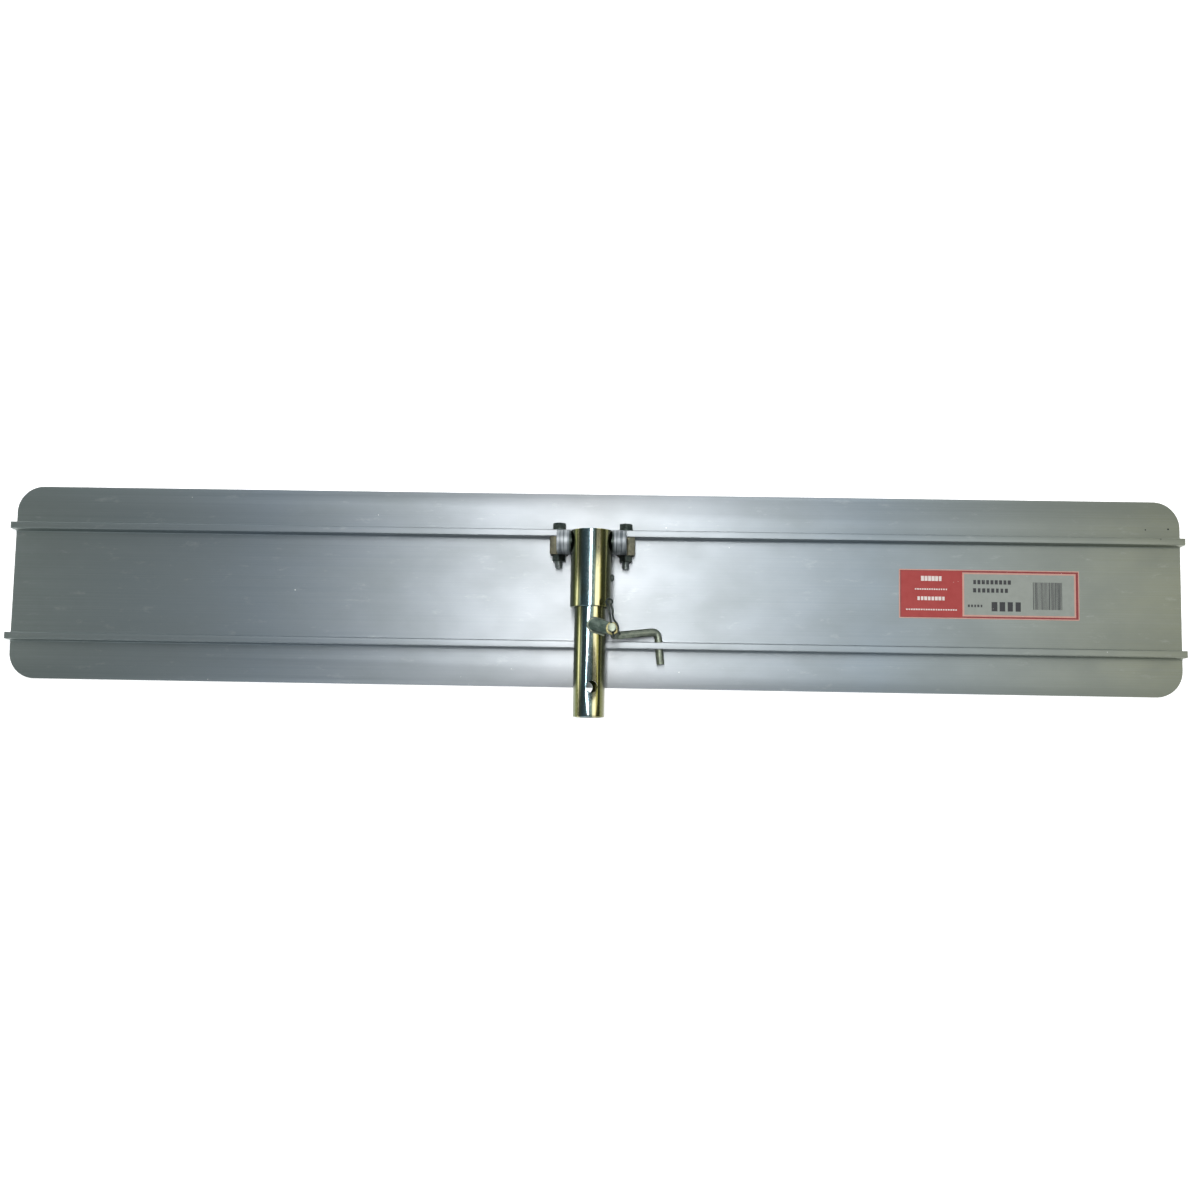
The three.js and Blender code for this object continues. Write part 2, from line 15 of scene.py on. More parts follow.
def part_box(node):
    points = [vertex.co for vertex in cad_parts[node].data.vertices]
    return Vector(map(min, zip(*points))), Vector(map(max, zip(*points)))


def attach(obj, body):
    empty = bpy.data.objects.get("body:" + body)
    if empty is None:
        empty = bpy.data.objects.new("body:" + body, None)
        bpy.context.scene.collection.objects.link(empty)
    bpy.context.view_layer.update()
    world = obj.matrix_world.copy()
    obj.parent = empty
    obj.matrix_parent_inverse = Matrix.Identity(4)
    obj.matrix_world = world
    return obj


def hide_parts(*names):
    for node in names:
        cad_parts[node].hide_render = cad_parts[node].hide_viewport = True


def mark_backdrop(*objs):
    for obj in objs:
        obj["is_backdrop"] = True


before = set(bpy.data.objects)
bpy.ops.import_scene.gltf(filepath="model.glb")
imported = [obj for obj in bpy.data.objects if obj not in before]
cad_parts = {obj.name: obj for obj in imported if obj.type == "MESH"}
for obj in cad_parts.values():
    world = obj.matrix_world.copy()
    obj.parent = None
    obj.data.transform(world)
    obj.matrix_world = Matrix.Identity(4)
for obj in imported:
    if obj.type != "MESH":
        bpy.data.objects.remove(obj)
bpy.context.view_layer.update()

# %% [markdown]
# ## Working in millimetres
# A fitter reads this tool in millimetres, and Blender stores metres. One constant turns one into the other.
# The sizes that place the pieces are measured on the frame's own nodes. A size that a node's box doesn't
# show, such as a rib's width, is a named value with the design's own figure.

# %% Sizes measured on the frame
MM = 0.001


def box_mm(node):
    low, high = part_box(node)
    return low / MM, high / MM


blade_low, blade_high = box_mm("blade")
plate_top = box_mm("label")[0].z
rib_front_face = box_mm("clamp_washer_right")[0].y
RIB_WIDTH = 7.0
rib_y = rib_front_face - RIB_WIDTH / 2

tube_low, tube_high = box_mm("handle_tube")
tube_radius = (tube_high.x - tube_low.x) / 2
axis_z = (tube_high.z + tube_low.z) / 2
sleeve_low, sleeve_high = box_mm("outer_sleeve")
sleeve_radius = (sleeve_high.x - sleeve_low.x) / 2
pin_low, pin_high = box_mm("pivot_pin_right")
pivot_y = (pin_low.y + pin_high.y) / 2
print(f"blade {blade_high.x - blade_low.x:.0f} x {blade_high.y - blade_low.y:.0f} mm, ribs at {rib_y:.1f} mm")
print(f"tube radius {tube_radius:.1f} mm on an axis {axis_z:.2f} mm up, sleeve radius {sleeve_radius:.1f} mm")

# %% [markdown]
# ## Two small tools for node trees
# Colours are picked as the hex values that a paint chart or an image editor shows. Blender's shaders work
# on linear light, so one function does that sum for all of them. A second one adds a node, sets it and
# links it, and serves materials and Geometry Nodes alike. Inputs go by name, or by number where a node
# repeats a name. Map Range, the node used most, numbers them 0 for the value, 1 and 2 for its range, 3 and
# 4 for the new one.

# %% Colour and node helpers


def linear(hex_colour):
    values = []
    for i in (1, 3, 5):
        c = int(hex_colour[i:i + 2], 16) / 255
        values.append(c / 12.92 if c <= 0.04045 else ((c + 0.055) / 1.055) ** 2.4)
    return (*values, 1.0)


def add(tree, kind, inputs=None, **settings):
    """Adds a node. An input is a constant, a socket, or another node, which gives its first output in use."""
    node = tree.nodes.new(kind)
    for key, value in settings.items():
        setattr(node, key, value)
    for key, value in (inputs or {}).items():
        if isinstance(value, bpy.types.Node):
            value = next(socket for socket in value.outputs if socket.enabled)
        if isinstance(value, bpy.types.NodeSocket):
            tree.links.new(value, node.inputs[key])
        else:
            node.inputs[key].default_value = value
    return node


print("mid grey #808080 is", round(linear("#808080")[0], 3), "in linear light")

# %% [markdown]
# ## Patterns that every metal here shares
# Worked metal shows three things: long fine lines from the die or the belt, soft clouds of oxide, and marks
# from handling. A pattern's size is set by stretching the object's coordinates: a noise feature is about
# one unit wide, so dividing metres by the feature's real size puts it at the right scale.

# %% Pattern helpers


def new_material(name, colour, roughness, metallic, **sockets):
    material = bpy.data.materials.new(name)
    material.use_nodes = True
    shader = material.node_tree.nodes["Principled BSDF"]
    shader.inputs["Base Color"].default_value = linear(colour)
    shader.inputs["Roughness"].default_value = roughness
    shader.inputs["Metallic"].default_value = metallic
    for key, value in sockets.items():
        shader.inputs[key.replace("_", " ")].default_value = value
    return material, material.node_tree, shader


def stretched(tree, size_mm):
    """The object's coordinates, divided by a feature's size along x, y and z."""
    place = add(tree, "ShaderNodeTexCoord").outputs["Object"]
    scale = tuple(1 / (size * MM) for size in size_mm)
    return add(tree, "ShaderNodeMapping", {"Vector": place, "Scale": scale})


def mottle(tree, size_mm, detail=3.0, rough=0.55):
    """Soft random shapes of a real size."""
    inputs = {"Vector": stretched(tree, size_mm), "Scale": 1.0, "Detail": detail, "Roughness": rough}
    return add(tree, "ShaderNodeTexNoise", inputs)


def specks(tree, cell_mm, speck_mm, kept):
    """Small round marks, one in some of the cells of a random grid."""
    cells = add(tree, "ShaderNodeTexVoronoi", {"Vector": stretched(tree, (cell_mm,) * 3), "Scale": 1.0})
    rim = speck_mm / cell_mm
    core = 0.6 * speck_mm / cell_mm
    dot = add(tree, "ShaderNodeMapRange", {0: cells.outputs["Distance"], 1: rim, 2: core})
    chance = add(tree, "ShaderNodeSeparateColor", {"Color": cells.outputs["Color"]})
    chosen = add(tree, "ShaderNodeMath", {0: chance, 1: 1 - kept}, operation="GREATER_THAN")
    return add(tree, "ShaderNodeMath", {0: dot, 1: chosen}, operation="MULTIPLY")


def banded(tree, place, stops):
    """Colours in bands, from stops of a place between 0 and 1 and a colour."""
    bands = add(tree, "ShaderNodeValToRGB", {"Fac": place})
    elements = bands.color_ramp.elements
    elements[0].color, elements[1].color = linear(stops[0][1]), linear(stops[-1][1])
    for position, colour in stops[1:-1]:
        elements.new(position).color = linear(colour)
    return bands


def tinted(tree, colour, pattern, span, amount, tint):
    """Lays a tint over a colour, from none at the low end of a pattern's span to an amount at the high end."""
    share = add(tree, "ShaderNodeMapRange", {0: pattern, 1: span[0], 2: span[1], 4: amount})
    return add(tree, "ShaderNodeMix", {0: share, 6: colour, 7: linear(tint)}, data_type="RGBA").outputs[2]


def dress(tree, shader, colour, gloss, span, roughness, height, depth_mm, strength):
    """Links a finish: its colour, a roughness that follows the gloss pattern, and a fine relief."""
    low, high = roughness
    rough = add(tree, "ShaderNodeMapRange", {0: gloss, 1: span[0], 2: span[1], 3: low, 4: high})
    bump = add(tree, "ShaderNodeBump", {"Height": height, "Distance": depth_mm * MM, "Strength": strength})
    tree.links.new(colour, shader.inputs["Base Color"])
    tree.links.new(rough.outputs["Result"], shader.inputs["Roughness"])
    tree.links.new(bump.outputs["Normal"], shader.inputs["Normal"])


print("pattern helpers ready")

# %% [markdown]
# ## Mill-finish aluminium: the blade
# The blade is extruded 6063 aluminium, left as it came out of the die. To the eye that is a dull grey with
# lines all along its length, a cloudy oxide, faint scuffs from stacking, a few bright nicks, and some dark
# specks of dirt, thickest at one corner. It isn't polished, so a lamp shows as a broad glow. The die lines
# are about 1 mm apart, because the finest real ones would not show.

# %% Blade finish
HALF_LENGTH = 600
# Painted light along the blade, from one end to the other: the lighter neutral middle is a painted glow where
# the lamp shines, with bluish, then duller and darker tints towards the ends.
BLADE_GLOW_BANDS = (
    (0.0, "#858e89"), (0.22, "#87929a"), (0.5, "#989b9e"),
    (0.74, "#88939a"), (0.88, "#8b9189"), (1.0, "#8f927e"),
)
STAINED_CORNER = (574, 70)
STAIN_RADIUS = 26


def painted_glow_along_blade(tree):
    """Painted glow: lighter at the hub where the lamp shines, bluish further out and dull at the ends."""
    x = add(tree, "ShaderNodeSeparateXYZ", {"Vector": stretched(tree, (1, 1, 1))})
    place = add(tree, "ShaderNodeMapRange", {0: x, 1: -HALF_LENGTH, 2: HALF_LENGTH})
    return banded(tree, place, BLADE_GLOW_BANDS)


def near(tree, centre, radius_mm):
    """One inside a patch of the blade around a centre in millimetres, fading to nought at its edge."""
    shift = {"Vector": stretched(tree, (1, 1, 1)), "Location": (-centre[0], -centre[1], 0)}
    place = add(tree, "ShaderNodeMapping", shift)
    away = add(tree, "ShaderNodeVectorMath", {0: place}, operation="LENGTH").outputs["Value"]
    return add(tree, "ShaderNodeMapRange", {0: away, 1: radius_mm, 2: 0.6 * radius_mm})


def mill_aluminium():
    material, tree, shader = new_material("mill_finish_aluminium_extruded", "#8f979b", 0.47, 1.0)
    lines = mottle(tree, (420, 1.1, 1.1), 4.0, 0.65)
    clouds = mottle(tree, (90, 55, 55), 4.0, 0.6)
    colour = tinted(tree, painted_glow_along_blade(tree), lines, (0.3, 0.7), 0.16, "#b4b9bb")
    colour = tinted(tree, colour, clouds, (0.4, 0.7), 0.3, "#7d8482")

    patches = mottle(tree, (26, 9, 9), 5.0, 0.7)
    scuffs = add(tree, "ShaderNodeMapRange", {0: patches, 1: 0.6, 2: 0.78, 4: 0.12})
    wide_apart = specks(tree, 30, 0.8, 0.3)
    close = specks(tree, 13, 0.45, 0.22)
    nicks = add(tree, "ShaderNodeMath", {0: wide_apart, 1: close}, operation="MAXIMUM")
    marks = add(tree, "ShaderNodeMath", {0: scuffs, 1: nicks}, operation="MAXIMUM")
    colour = tinted(tree, colour, marks, (0, 1), 1.0, "#f2f4f3")

    corner = near(tree, STAINED_CORNER, STAIN_RADIUS)
    crowded = specks(tree, 8, 1.1, 0.5)
    stray = specks(tree, 120, 1.0, 0.25)
    at_corner = add(tree, "ShaderNodeMath", {0: crowded, 1: corner}, operation="MULTIPLY")
    dirt = add(tree, "ShaderNodeMath", {0: stray, 1: at_corner}, operation="MAXIMUM")
    colour = tinted(tree, colour, dirt, (0, 1), 1.0, "#24282c")

    gloss = add(tree, "ShaderNodeMath", {0: lines, 1: clouds}, operation="ADD")
    dents = add(tree, "ShaderNodeMath", {0: marks, 1: 0.35}, operation="MULTIPLY")
    relief = add(tree, "ShaderNodeMath", {0: lines, 1: dents}, operation="SUBTRACT")
    dress(tree, shader, colour, gloss, (0.7, 1.3), (0.45, 0.52), relief, 0.02, 0.5)
    return material


BLADE_METAL = mill_aluminium()
print("made", BLADE_METAL.name)

# %% [markdown]
# ## Yellow-passivated zinc: the sleeve and the handle tube
# These are welded steel tubes, zinc plated and dipped in a yellow chromate. The film is thinner where it
# drained and thicker where it gathered, which tints it from bluish silver through straw to olive. That colour
# runs in bands along the tube, set by the place across it, and the bands are partly painted reflection: two
# thin bright straw bands are painted streaks of reflected light, and the bluish middle band is painted sheen
# around the lamp's highlight. A fine mottle of zinc crystals breaks up the shine; its pale specks are kept to
# the middle band, where they are a painted speckled highlight.

# %% Plated tube finish
# Stops from the tube's left side to its right. The bright straw stops near 0.185 and from 0.635 to 0.70 are
# painted streaks of reflected light, the bluish stops in the middle are painted sheen round the lamp's
# highlight, and the rest is the chromate's own tint.
CHROMATE_AND_STREAK_BANDS = (
    (0.00, "#6f7464"), (0.07, "#787e66"), (0.11, "#5c6135"), (0.16, "#767a4a"), (0.185, "#cdc99b"),
    (0.21, "#63653a"), (0.26, "#4f5b50"), (0.38, "#66838a"), (0.45, "#728b92"), (0.51, "#7b9097"),
    (0.57, "#6b8079"), (0.61, "#616e54"), (0.635, "#cac49c"), (0.70, "#cfc799"), (0.74, "#857f45"),
    (0.80, "#5f6134"), (0.92, "#6b6c4c"), (1.00, "#7d7e6c"),
)


def yellow_zinc(name, radius_mm):
    material, tree, shader = new_material(name, "#a89f62", 0.2, 1.0)
    place = add(tree, "ShaderNodeSeparateXYZ", {"Vector": stretched(tree, (radius_mm, 1000, radius_mm))})
    drift = mottle(tree, (30, 160, 30), 2.0)
    wander = add(tree, "ShaderNodeMapRange", {0: drift, 1: 0.3, 2: 0.7, 3: -0.04, 4: 0.04})
    across = add(tree, "ShaderNodeMath", {0: place, 1: wander}, operation="ADD")
    bands = banded(tree, add(tree, "ShaderNodeMapRange", {0: across, 1: -1.0, 2: 1.0}), CHROMATE_AND_STREAK_BANDS)

    # The pale crystal specks are weighted to the middle band across the tube, where the lamp's highlight
    # falls: a painted speckled highlight on top of the real spangle.
    spangle = mottle(tree, (1.2, 1.7, 1.2), 4.0, 0.65)
    off_centre = add(tree, "ShaderNodeMath", {0: across}, operation="ABSOLUTE")
    middle_band = add(tree, "ShaderNodeMapRange", {0: off_centre, 1: 0.3, 2: 0.14})
    crystals = add(tree, "ShaderNodeMapRange", {0: spangle, 1: 0.5, 2: 0.66, 4: 0.5})
    sheen_share = add(tree, "ShaderNodeMapRange", {0: middle_band, 3: 0.25})
    pale = add(tree, "ShaderNodeMath", {0: crystals, 1: sheen_share}, operation="MULTIPLY")
    colour = tinted(tree, bands, pale, (0, 1), 1.0, "#c9cfcb")
    colour = tinted(tree, colour, mottle(tree, (8, 24, 8), 4.0, 0.6), (0.54, 0.7), 0.45, "#55533a")

    raised = add(tree, "ShaderNodeMapRange", {0: middle_band, 3: 0.12})
    grain = add(tree, "ShaderNodeMath", {0: spangle, 1: raised}, operation="MULTIPLY")
    drawn = add(tree, "ShaderNodeMath", {0: mottle(tree, (0.9, 60, 0.9)), 1: 0.12}, operation="MULTIPLY")
    relief = add(tree, "ShaderNodeMath", {0: grain, 1: drawn}, operation="ADD")
    dress(tree, shader, colour, spangle, (0.3, 0.7), (0.13, 0.22), relief, 0.05, 0.42)
    return material


SLEEVE_METAL = yellow_zinc("yellow_passivated_zinc_sleeve", sleeve_radius)
TUBE_METAL = yellow_zinc("yellow_passivated_zinc_tube", tube_radius)
print("made", SLEEVE_METAL.name, "and", TUBE_METAL.name)

# %% [markdown]
# ## Olive and dark zinc: the crank, the feet and the fasteners
# The crank and the feet had the same dip but stayed in it longer, which leaves a dull olive. The bolts and
# the clip have gone dark with handling. One function makes both, because they differ only in colour and
# gloss.

# %% Small steel parts finish


def aged_zinc(name, base, worn, stained, roughness):
    material, tree, shader = new_material(name, base, roughness, 1.0)
    clouds = mottle(tree, (7, 7, 7), 4.0, 0.6)
    grain = mottle(tree, (0.8, 0.8, 0.8), 5.0, 0.7)
    colour = tinted(tree, linear(base), clouds, (0.4, 0.62), 1.0, worn)
    colour = tinted(tree, colour, grain, (0.58, 0.72), 0.8, stained)
    relief = add(tree, "ShaderNodeMath", {0: grain, 1: clouds}, operation="ADD")
    dress(tree, shader, colour, grain, (0.3, 0.7), (roughness - 0.08, roughness + 0.1), relief, 0.05, 0.5)
    return material


OLIVE_ZINC = aged_zinc("olive_passivated_zinc_rod", "#71786c", "#8f9685", "#474e44", 0.44)
# The lug has the rod's olive zinc drawn much darker, as painted shade for the dark reflection its face shows.
SHADED_LUG_ZINC = aged_zinc("olive_zinc_lug_painted_shade", "#38433d", "#56615a", "#232a26", 0.58)
FOOT_ZINC = aged_zinc("olive_brown_passivated_zinc", "#4a4a40", "#636151", "#2c2c26", 0.5)
DARK_ZINC = aged_zinc("darkened_zinc_fasteners", "#3d4642", "#5c635d", "#222826", 0.42)
WIRE_ZINC = aged_zinc("darkened_spring_wire", "#2c3230", "#454c48", "#191d1b", 0.45)
THREAD_ZINC = aged_zinc("bright_zinc_thread", "#8b928f", "#a9afac", "#5a615e", 0.32)
PALE_ZINC = aged_zinc("yellow_passivated_zinc_washer", "#857f58", "#a59f76", "#5f5b3b", 0.5)
finishes = (OLIVE_ZINC, SHADED_LUG_ZINC, FOOT_ZINC, DARK_ZINC, WIRE_ZINC, THREAD_ZINC, PALE_ZINC)
print("made", ", ".join(material.name for material in finishes))

# %% [markdown]
# ## Linished steel: the knuckles
# After welding, each knuckle is dressed on a belt that wraps over it, so its fine scratches run around the
# curve, front to back. They are drawn about half a millimetre apart, coarser than the real grit.

# %% Knuckle finish


def linished_steel():
    material, tree, shader = new_material("linished_bright_steel", "#9aa0a2", 0.58, 1.0)
    fine = mottle(tree, (0.55, 40, 40), 4.0, 0.7)
    coarse = mottle(tree, (2.4, 60, 60), 2.0)
    pits = specks(tree, 3.0, 0.35, 0.3)
    belt = add(tree, "ShaderNodeMath", {0: fine, 1: coarse}, operation="ADD")
    colour = tinted(tree, linear("#62686c"), belt, (0.8, 1.2), 1.0, "#b6bbbd")
    colour = tinted(tree, colour, pits, (0, 1), 1.0, "#5d6162")
    relief = add(tree, "ShaderNodeMath", {0: fine, 1: pits}, operation="SUBTRACT")
    dress(tree, shader, colour, fine, (0.3, 0.7), (0.5, 0.64), relief, 0.05, 0.6)
    return material


KNUCKLE_METAL = linished_steel()
print("made", KNUCKLE_METAL.name)

# %% [markdown]
# ## Printed film: the label
# The label is a vinyl film with screen-printed inks under a thin clear coat. The inks differ only in colour,
# and all share a faint unevenness and the dust that site tools collect.

# %% Label inks


def printed_film(name, colour, worn):
    material, tree, shader = new_material(name, colour, 0.5, 0.0, Coat_Weight=0.1, Coat_Roughness=0.3)
    patches = mottle(tree, (6, 6, 6), 4.0, 0.6)
    inked = tinted(tree, linear(colour), patches, (0.42, 0.7), 0.35, worn)
    inked = tinted(tree, inked, specks(tree, 5.0, 0.35, 0.25), (0, 1), 0.5, "#f3efe8")
    dress(tree, shader, inked, patches, (0.3, 0.7), (0.46, 0.6), patches, 0.02, 0.4)
    return material


FILM_RED = printed_film("printed_vinyl_red", "#9c211b", "#8d1e19")
FILM_BORDER = printed_film("printed_vinyl_dark_red", "#802525", "#701f1f")
FILM_PALE = printed_film("printed_vinyl_pale_pink", "#be8e80", "#ad7f71")
FILM_SILVER = printed_film("printed_vinyl_silver_grey", "#8a8f87", "#7d827a")
FILM_WHITE = printed_film("printed_vinyl_white", "#d8cdc7", "#c4b7b0")
FILM_BLACK = printed_film("printed_vinyl_black", "#16191b", "#2b3032")
inks = (FILM_RED, FILM_BORDER, FILM_PALE, FILM_SILVER, FILM_WHITE, FILM_BLACK)
print("made", ", ".join(material.name for material in inks))

# %% [markdown]
# ## From a rough solid to a finished piece
# Every piece goes the same way. It is modelled in millimetres in a bmesh or a node tree, cut by boolean
# modifiers where it has holes, and its hard edges get a small bevel, because real edges catch the light.
# Then the modifiers are baked into a plain mesh, which sits at the origin and rides on its CAD body.

# %% Piece helpers


def link_object(name, data):
    obj = bpy.data.objects.new(name, data)
    bpy.context.scene.collection.objects.link(obj)
    return obj


def object_from(bm, name, material=None):
    """A bmesh in millimetres becomes an object in metres, with closed seams and faces that point outwards."""
    bmesh.ops.remove_doubles(bm, verts=bm.verts, dist=1e-4)
    bmesh.ops.recalc_face_normals(bm, faces=bm.faces)
    bmesh.ops.scale(bm, vec=(MM, MM, MM), verts=bm.verts)
    mesh = bpy.data.meshes.new(name)
    bm.to_mesh(mesh)
    bm.free()
    if material:
        mesh.materials.append(material)
    return link_object(name, mesh)


def cut(obj, cutter, operation="DIFFERENCE"):
    modifier = obj.modifiers.new("cut", "BOOLEAN")
    modifier.operation = operation
    modifier.solver = "EXACT"
    modifier.object = cutter
    bake(obj)
    bpy.data.objects.remove(cutter)
    return obj


def bake(obj):
    """Turns the evaluated object into its own plain mesh and clears its modifiers."""
    bpy.context.view_layer.update()
    evaluated = obj.evaluated_get(bpy.context.evaluated_depsgraph_get())
    mesh = bpy.data.meshes.new_from_object(evaluated)
    obj.modifiers.clear()
    obj.data = mesh
    return obj


def soften(obj, width_mm, segments=2, angle=35):
    bevel = obj.modifiers.new("edges", "BEVEL")
    bevel.width = width_mm * MM
    bevel.segments = segments
    bevel.limit_method = "ANGLE"
    bevel.angle_limit = math.radians(angle)
    bevel.use_clamp_overlap = True
    return bake(obj)


def finish(obj, body, slot, *nodes, material, smooth_angle=32):
    """Shades the piece smooth except at its sharp edges, and hands it to the frame."""
    obj.data.materials.clear()
    obj.data.materials.append(material)
    for polygon in obj.data.polygons:
        polygon.use_smooth = True
    obj.data.set_sharp_from_angle(angle=math.radians(smooth_angle))
    obj.data.name = obj.name
    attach(obj, body)
    if nodes:
        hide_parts(*nodes)
    print(f"{obj.name}: {len(obj.data.polygons)} faces on {body}")
    return obj


# %% [markdown]
# ## Shapes a lathe, a saw and a bender make
# Four helpers cover most of the metalwork: a turned profile, a prism cut from an outline, a round bar, and
# an arc of points for rounded outlines.

# %% Shape helpers


def arc(centre, radius, start, end, steps):
    """Points on an arc, with its angles in degrees."""
    angles = [math.radians(start + (end - start) * i / steps) for i in range(steps + 1)]
    return [(centre[0] + radius * math.cos(a), centre[1] + radius * math.sin(a)) for a in angles]


def turned(profile, segments=96, closed=True):
    """A profile of (radius, y) points, turned about the Y axis. A closed profile makes a ring."""
    bm = bmesh.new()
    rings = []
    for i in range(segments):
        a = 2 * math.pi * i / segments
        rings.append([bm.verts.new((r * math.cos(a), y, r * math.sin(a))) for r, y in profile])
    count = len(profile)
    for i in range(segments):
        near, far = rings[i], rings[(i + 1) % segments]
        for j in range(count if closed else count - 1):
            k = (j + 1) % count
            corners = [near[j], near[k], far[k], far[j]]
            if profile[j][0] < 1e-9:
                corners = [near[j], near[k], far[k]]
            elif profile[k][0] < 1e-9:
                corners = [near[j], near[k], far[j]]
            bm.faces.new(corners)
    return bm


def prism(outline, low, high, axis="z"):
    """An outline drawn straight from low to high along an axis. Along x the outline is (y, z) points."""
    places = {"x": lambda u, v, w: (w, u, v), "y": lambda u, v, w: (u, w, v), "z": lambda u, v, w: (u, v, w)}
    place = places[axis]
    bm = bmesh.new()
    ends = [[bm.verts.new(place(u, v, w)) for u, v in outline] for w in (low, high)]
    for ring in ends:
        bm.faces.new(ring)
    for i in range(len(outline)):
        j = (i + 1) % len(outline)
        bm.faces.new((ends[0][i], ends[0][j], ends[1][j], ends[1][i]))
    return bm


def round_bar(radius, low, high, axis="y", segments=64):
    circle = arc((0, 0), radius, 0, 360 - 360 / segments, segments - 1)
    return prism(circle, low, high, axis)


def moved(bm, offset=(0, 0, 0), turn=None):
    if turn:
        bmesh.ops.rotate(bm, cent=(0, 0, 0), matrix=turn, verts=bm.verts)
    bmesh.ops.translate(bm, vec=offset, verts=bm.verts)
    return bm


def ring_profile(outer, inner, low, high, edge):
    """The wall of a tube or washer as (radius, y) points, with rounded outer edges."""
    rear = arc((outer - edge, low + edge), edge, -90, 0, 5)
    front = arc((outer - edge, high - edge), edge, 0, 90, 5)
    burr = 0.25 * edge
    bore = [(inner + burr, high), (inner, high - burr), (inner, low + burr), (inner + burr, low)]
    return rear + front + bore


def softened_copy(node, name, width_mm, segments=2):
    """A copy of a CAD node, welded and cleaned of its triangles, with its edges eased."""
    bm = bmesh.new()
    bm.from_mesh(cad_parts[node].data)
    bmesh.ops.remove_doubles(bm, verts=bm.verts, dist=1e-6)
    bmesh.ops.dissolve_limit(bm, angle_limit=math.radians(1.0), verts=bm.verts, edges=bm.edges)
    mesh = bpy.data.meshes.new(name)
    bm.to_mesh(mesh)
    bm.free()
    return soften(link_object(name, mesh), width_mm, segments)


print("shape helpers ready")

# %% [markdown]
# ## The blade
# The real blade is one extrusion: a thin plate with two upright ribs, cut to length, its corners rounded
# on a saw. So it is drawn the same way: the section first, with its fillets, drawn along X, then trimmed
# by the outline seen from above. The bolt holes and the crank's slot are cut last, and the cut edges are
# eased.

# %% Blade section
FILLET = 2.0
RIB_EDGE = 0.8
SOLE_EDGE = 1.5


def blade_section():
    half = blade_high.y
    rib_top = blade_high.z
    points = arc((half - SOLE_EDGE, SOLE_EDGE), SOLE_EDGE, -90, 0, 6)
    points.append((half, plate_top))
    for y in (rib_y, -rib_y):
        front, rear = y + RIB_WIDTH / 2, y - RIB_WIDTH / 2
        points += arc((front + FILLET, plate_top + FILLET), FILLET, -90, -180, 8)
        points += arc((front - RIB_EDGE, rib_top - RIB_EDGE), RIB_EDGE, 0, 90, 5)
        points += arc((rear + RIB_EDGE, rib_top - RIB_EDGE), RIB_EDGE, 90, 180, 5)
        points += arc((rear - FILLET, plate_top + FILLET), FILLET, 0, -90, 8)
    points.append((-half, plate_top))
    points += arc((-half + SOLE_EDGE, SOLE_EDGE), SOLE_EDGE, 180, 270, 6)
    return points


def rounded_outline(x, y, radius, steps):
    points = arc((x - radius, y - radius), radius, 0, 90, steps)
    points += arc((-x + radius, y - radius), radius, 90, 180, steps)
    points += arc((-x + radius, -y + radius), radius, 180, 270, steps)
    return points + arc((x - radius, -y + radius), radius, 270, 360, steps)


print("the section has", len(blade_section()), "points")

# %% Blade solid, corners, holes and slot
CORNER_RADIUS = 27.0
CUT_PAST = 5.0
BOLT = 8.0
BOLT_PLAY = 0.15
SLOT_RADIUS = 5.9
SLOT_ENDS = (60.7, 70.4)
bolt_low, bolt_high = box_mm("clamp_bolt_right")
bolt_x = (bolt_low.x + bolt_high.x) / 2
bolt_z = (bolt_low.z + bolt_high.z) / 2
slot_z = (plate_top + blade_high.z) / 2

blade = object_from(prism(blade_section(), blade_low.x, blade_high.x, "x"), "blade_body")
corners = rounded_outline(blade_high.x, blade_high.y, CORNER_RADIUS, 24)
cut(blade, object_from(prism(corners, -CUT_PAST, blade_high.z + CUT_PAST), "cutter"), "INTERSECT")
for side in (-1, 1):
    drill = round_bar(BOLT / 2 + BOLT_PLAY, rib_y - RIB_WIDTH, rib_y + RIB_WIDTH)
    cut(blade, object_from(moved(drill, (side * bolt_x, 0, bolt_z)), "cutter"))
slot_outline = arc((SLOT_ENDS[1], slot_z), SLOT_RADIUS, -90, 90, 16)
slot_outline += arc((SLOT_ENDS[0], slot_z), SLOT_RADIUS, 90, 270, 16)
cut(blade, object_from(prism(slot_outline, -rib_y - RIB_WIDTH, -rib_y + RIB_WIDTH, "y"), "cutter"))
soften(blade, 0.3)
finish(blade, "float_blade", "mill_aluminium", "blade", material=BLADE_METAL)

# %% [markdown]
# ## The hub's tubes
# The sleeve and the handle tube are lengths of round tube, faced and eased at the ends on a lathe. A
# turned ring is the honest way to make them. The holes are drilled afterwards, as on the real ones: the
# pivots' through the sleeve, the pole button's through the handle tube, and the slot that the retaining
# screw runs in.

# %% Outer sleeve
TUBE_WALL = 2.6
SLEEVE_PLAY = 0.7
PIVOT_HOLE_RADIUS = 5.15
SCREW_HOLE_RADIUS = 3.15
PAST_WALL = 40
tube_bore = tube_radius - TUBE_WALL
sleeve_bore = tube_radius + SLEEVE_PLAY
screw_low, screw_high = box_mm("retaining_screw")
screw_y = (screw_low.y + screw_high.y) / 2

profile = ring_profile(sleeve_radius, sleeve_bore, sleeve_low.y, sleeve_high.y, 0.8)
sleeve = object_from(moved(turned(profile, 128), (0, 0, axis_z)), "sleeve_tube")
drill = moved(round_bar(PIVOT_HOLE_RADIUS, -PAST_WALL, PAST_WALL, "x"), (0, pivot_y, axis_z))
cut(sleeve, object_from(drill, "cutter"))
drill = moved(round_bar(SCREW_HOLE_RADIUS, 5, PAST_WALL, "x"), (0, screw_y, axis_z))
cut(sleeve, object_from(drill, "cutter"))
finish(sleeve, "sleeve", "yellow_zinc", "outer_sleeve", material=SLEEVE_METAL)

# %% Handle tube
BUTTON_HOLE_RADIUS = 6.0
BUTTON_HOLE_INSET = 30.0
BUTTON_HOLE_TURN = 12.0
TWIST = 13.3
SCREW_HALF_ANGLE = 14.4
SCREW_HALF_SLOT = 3.3

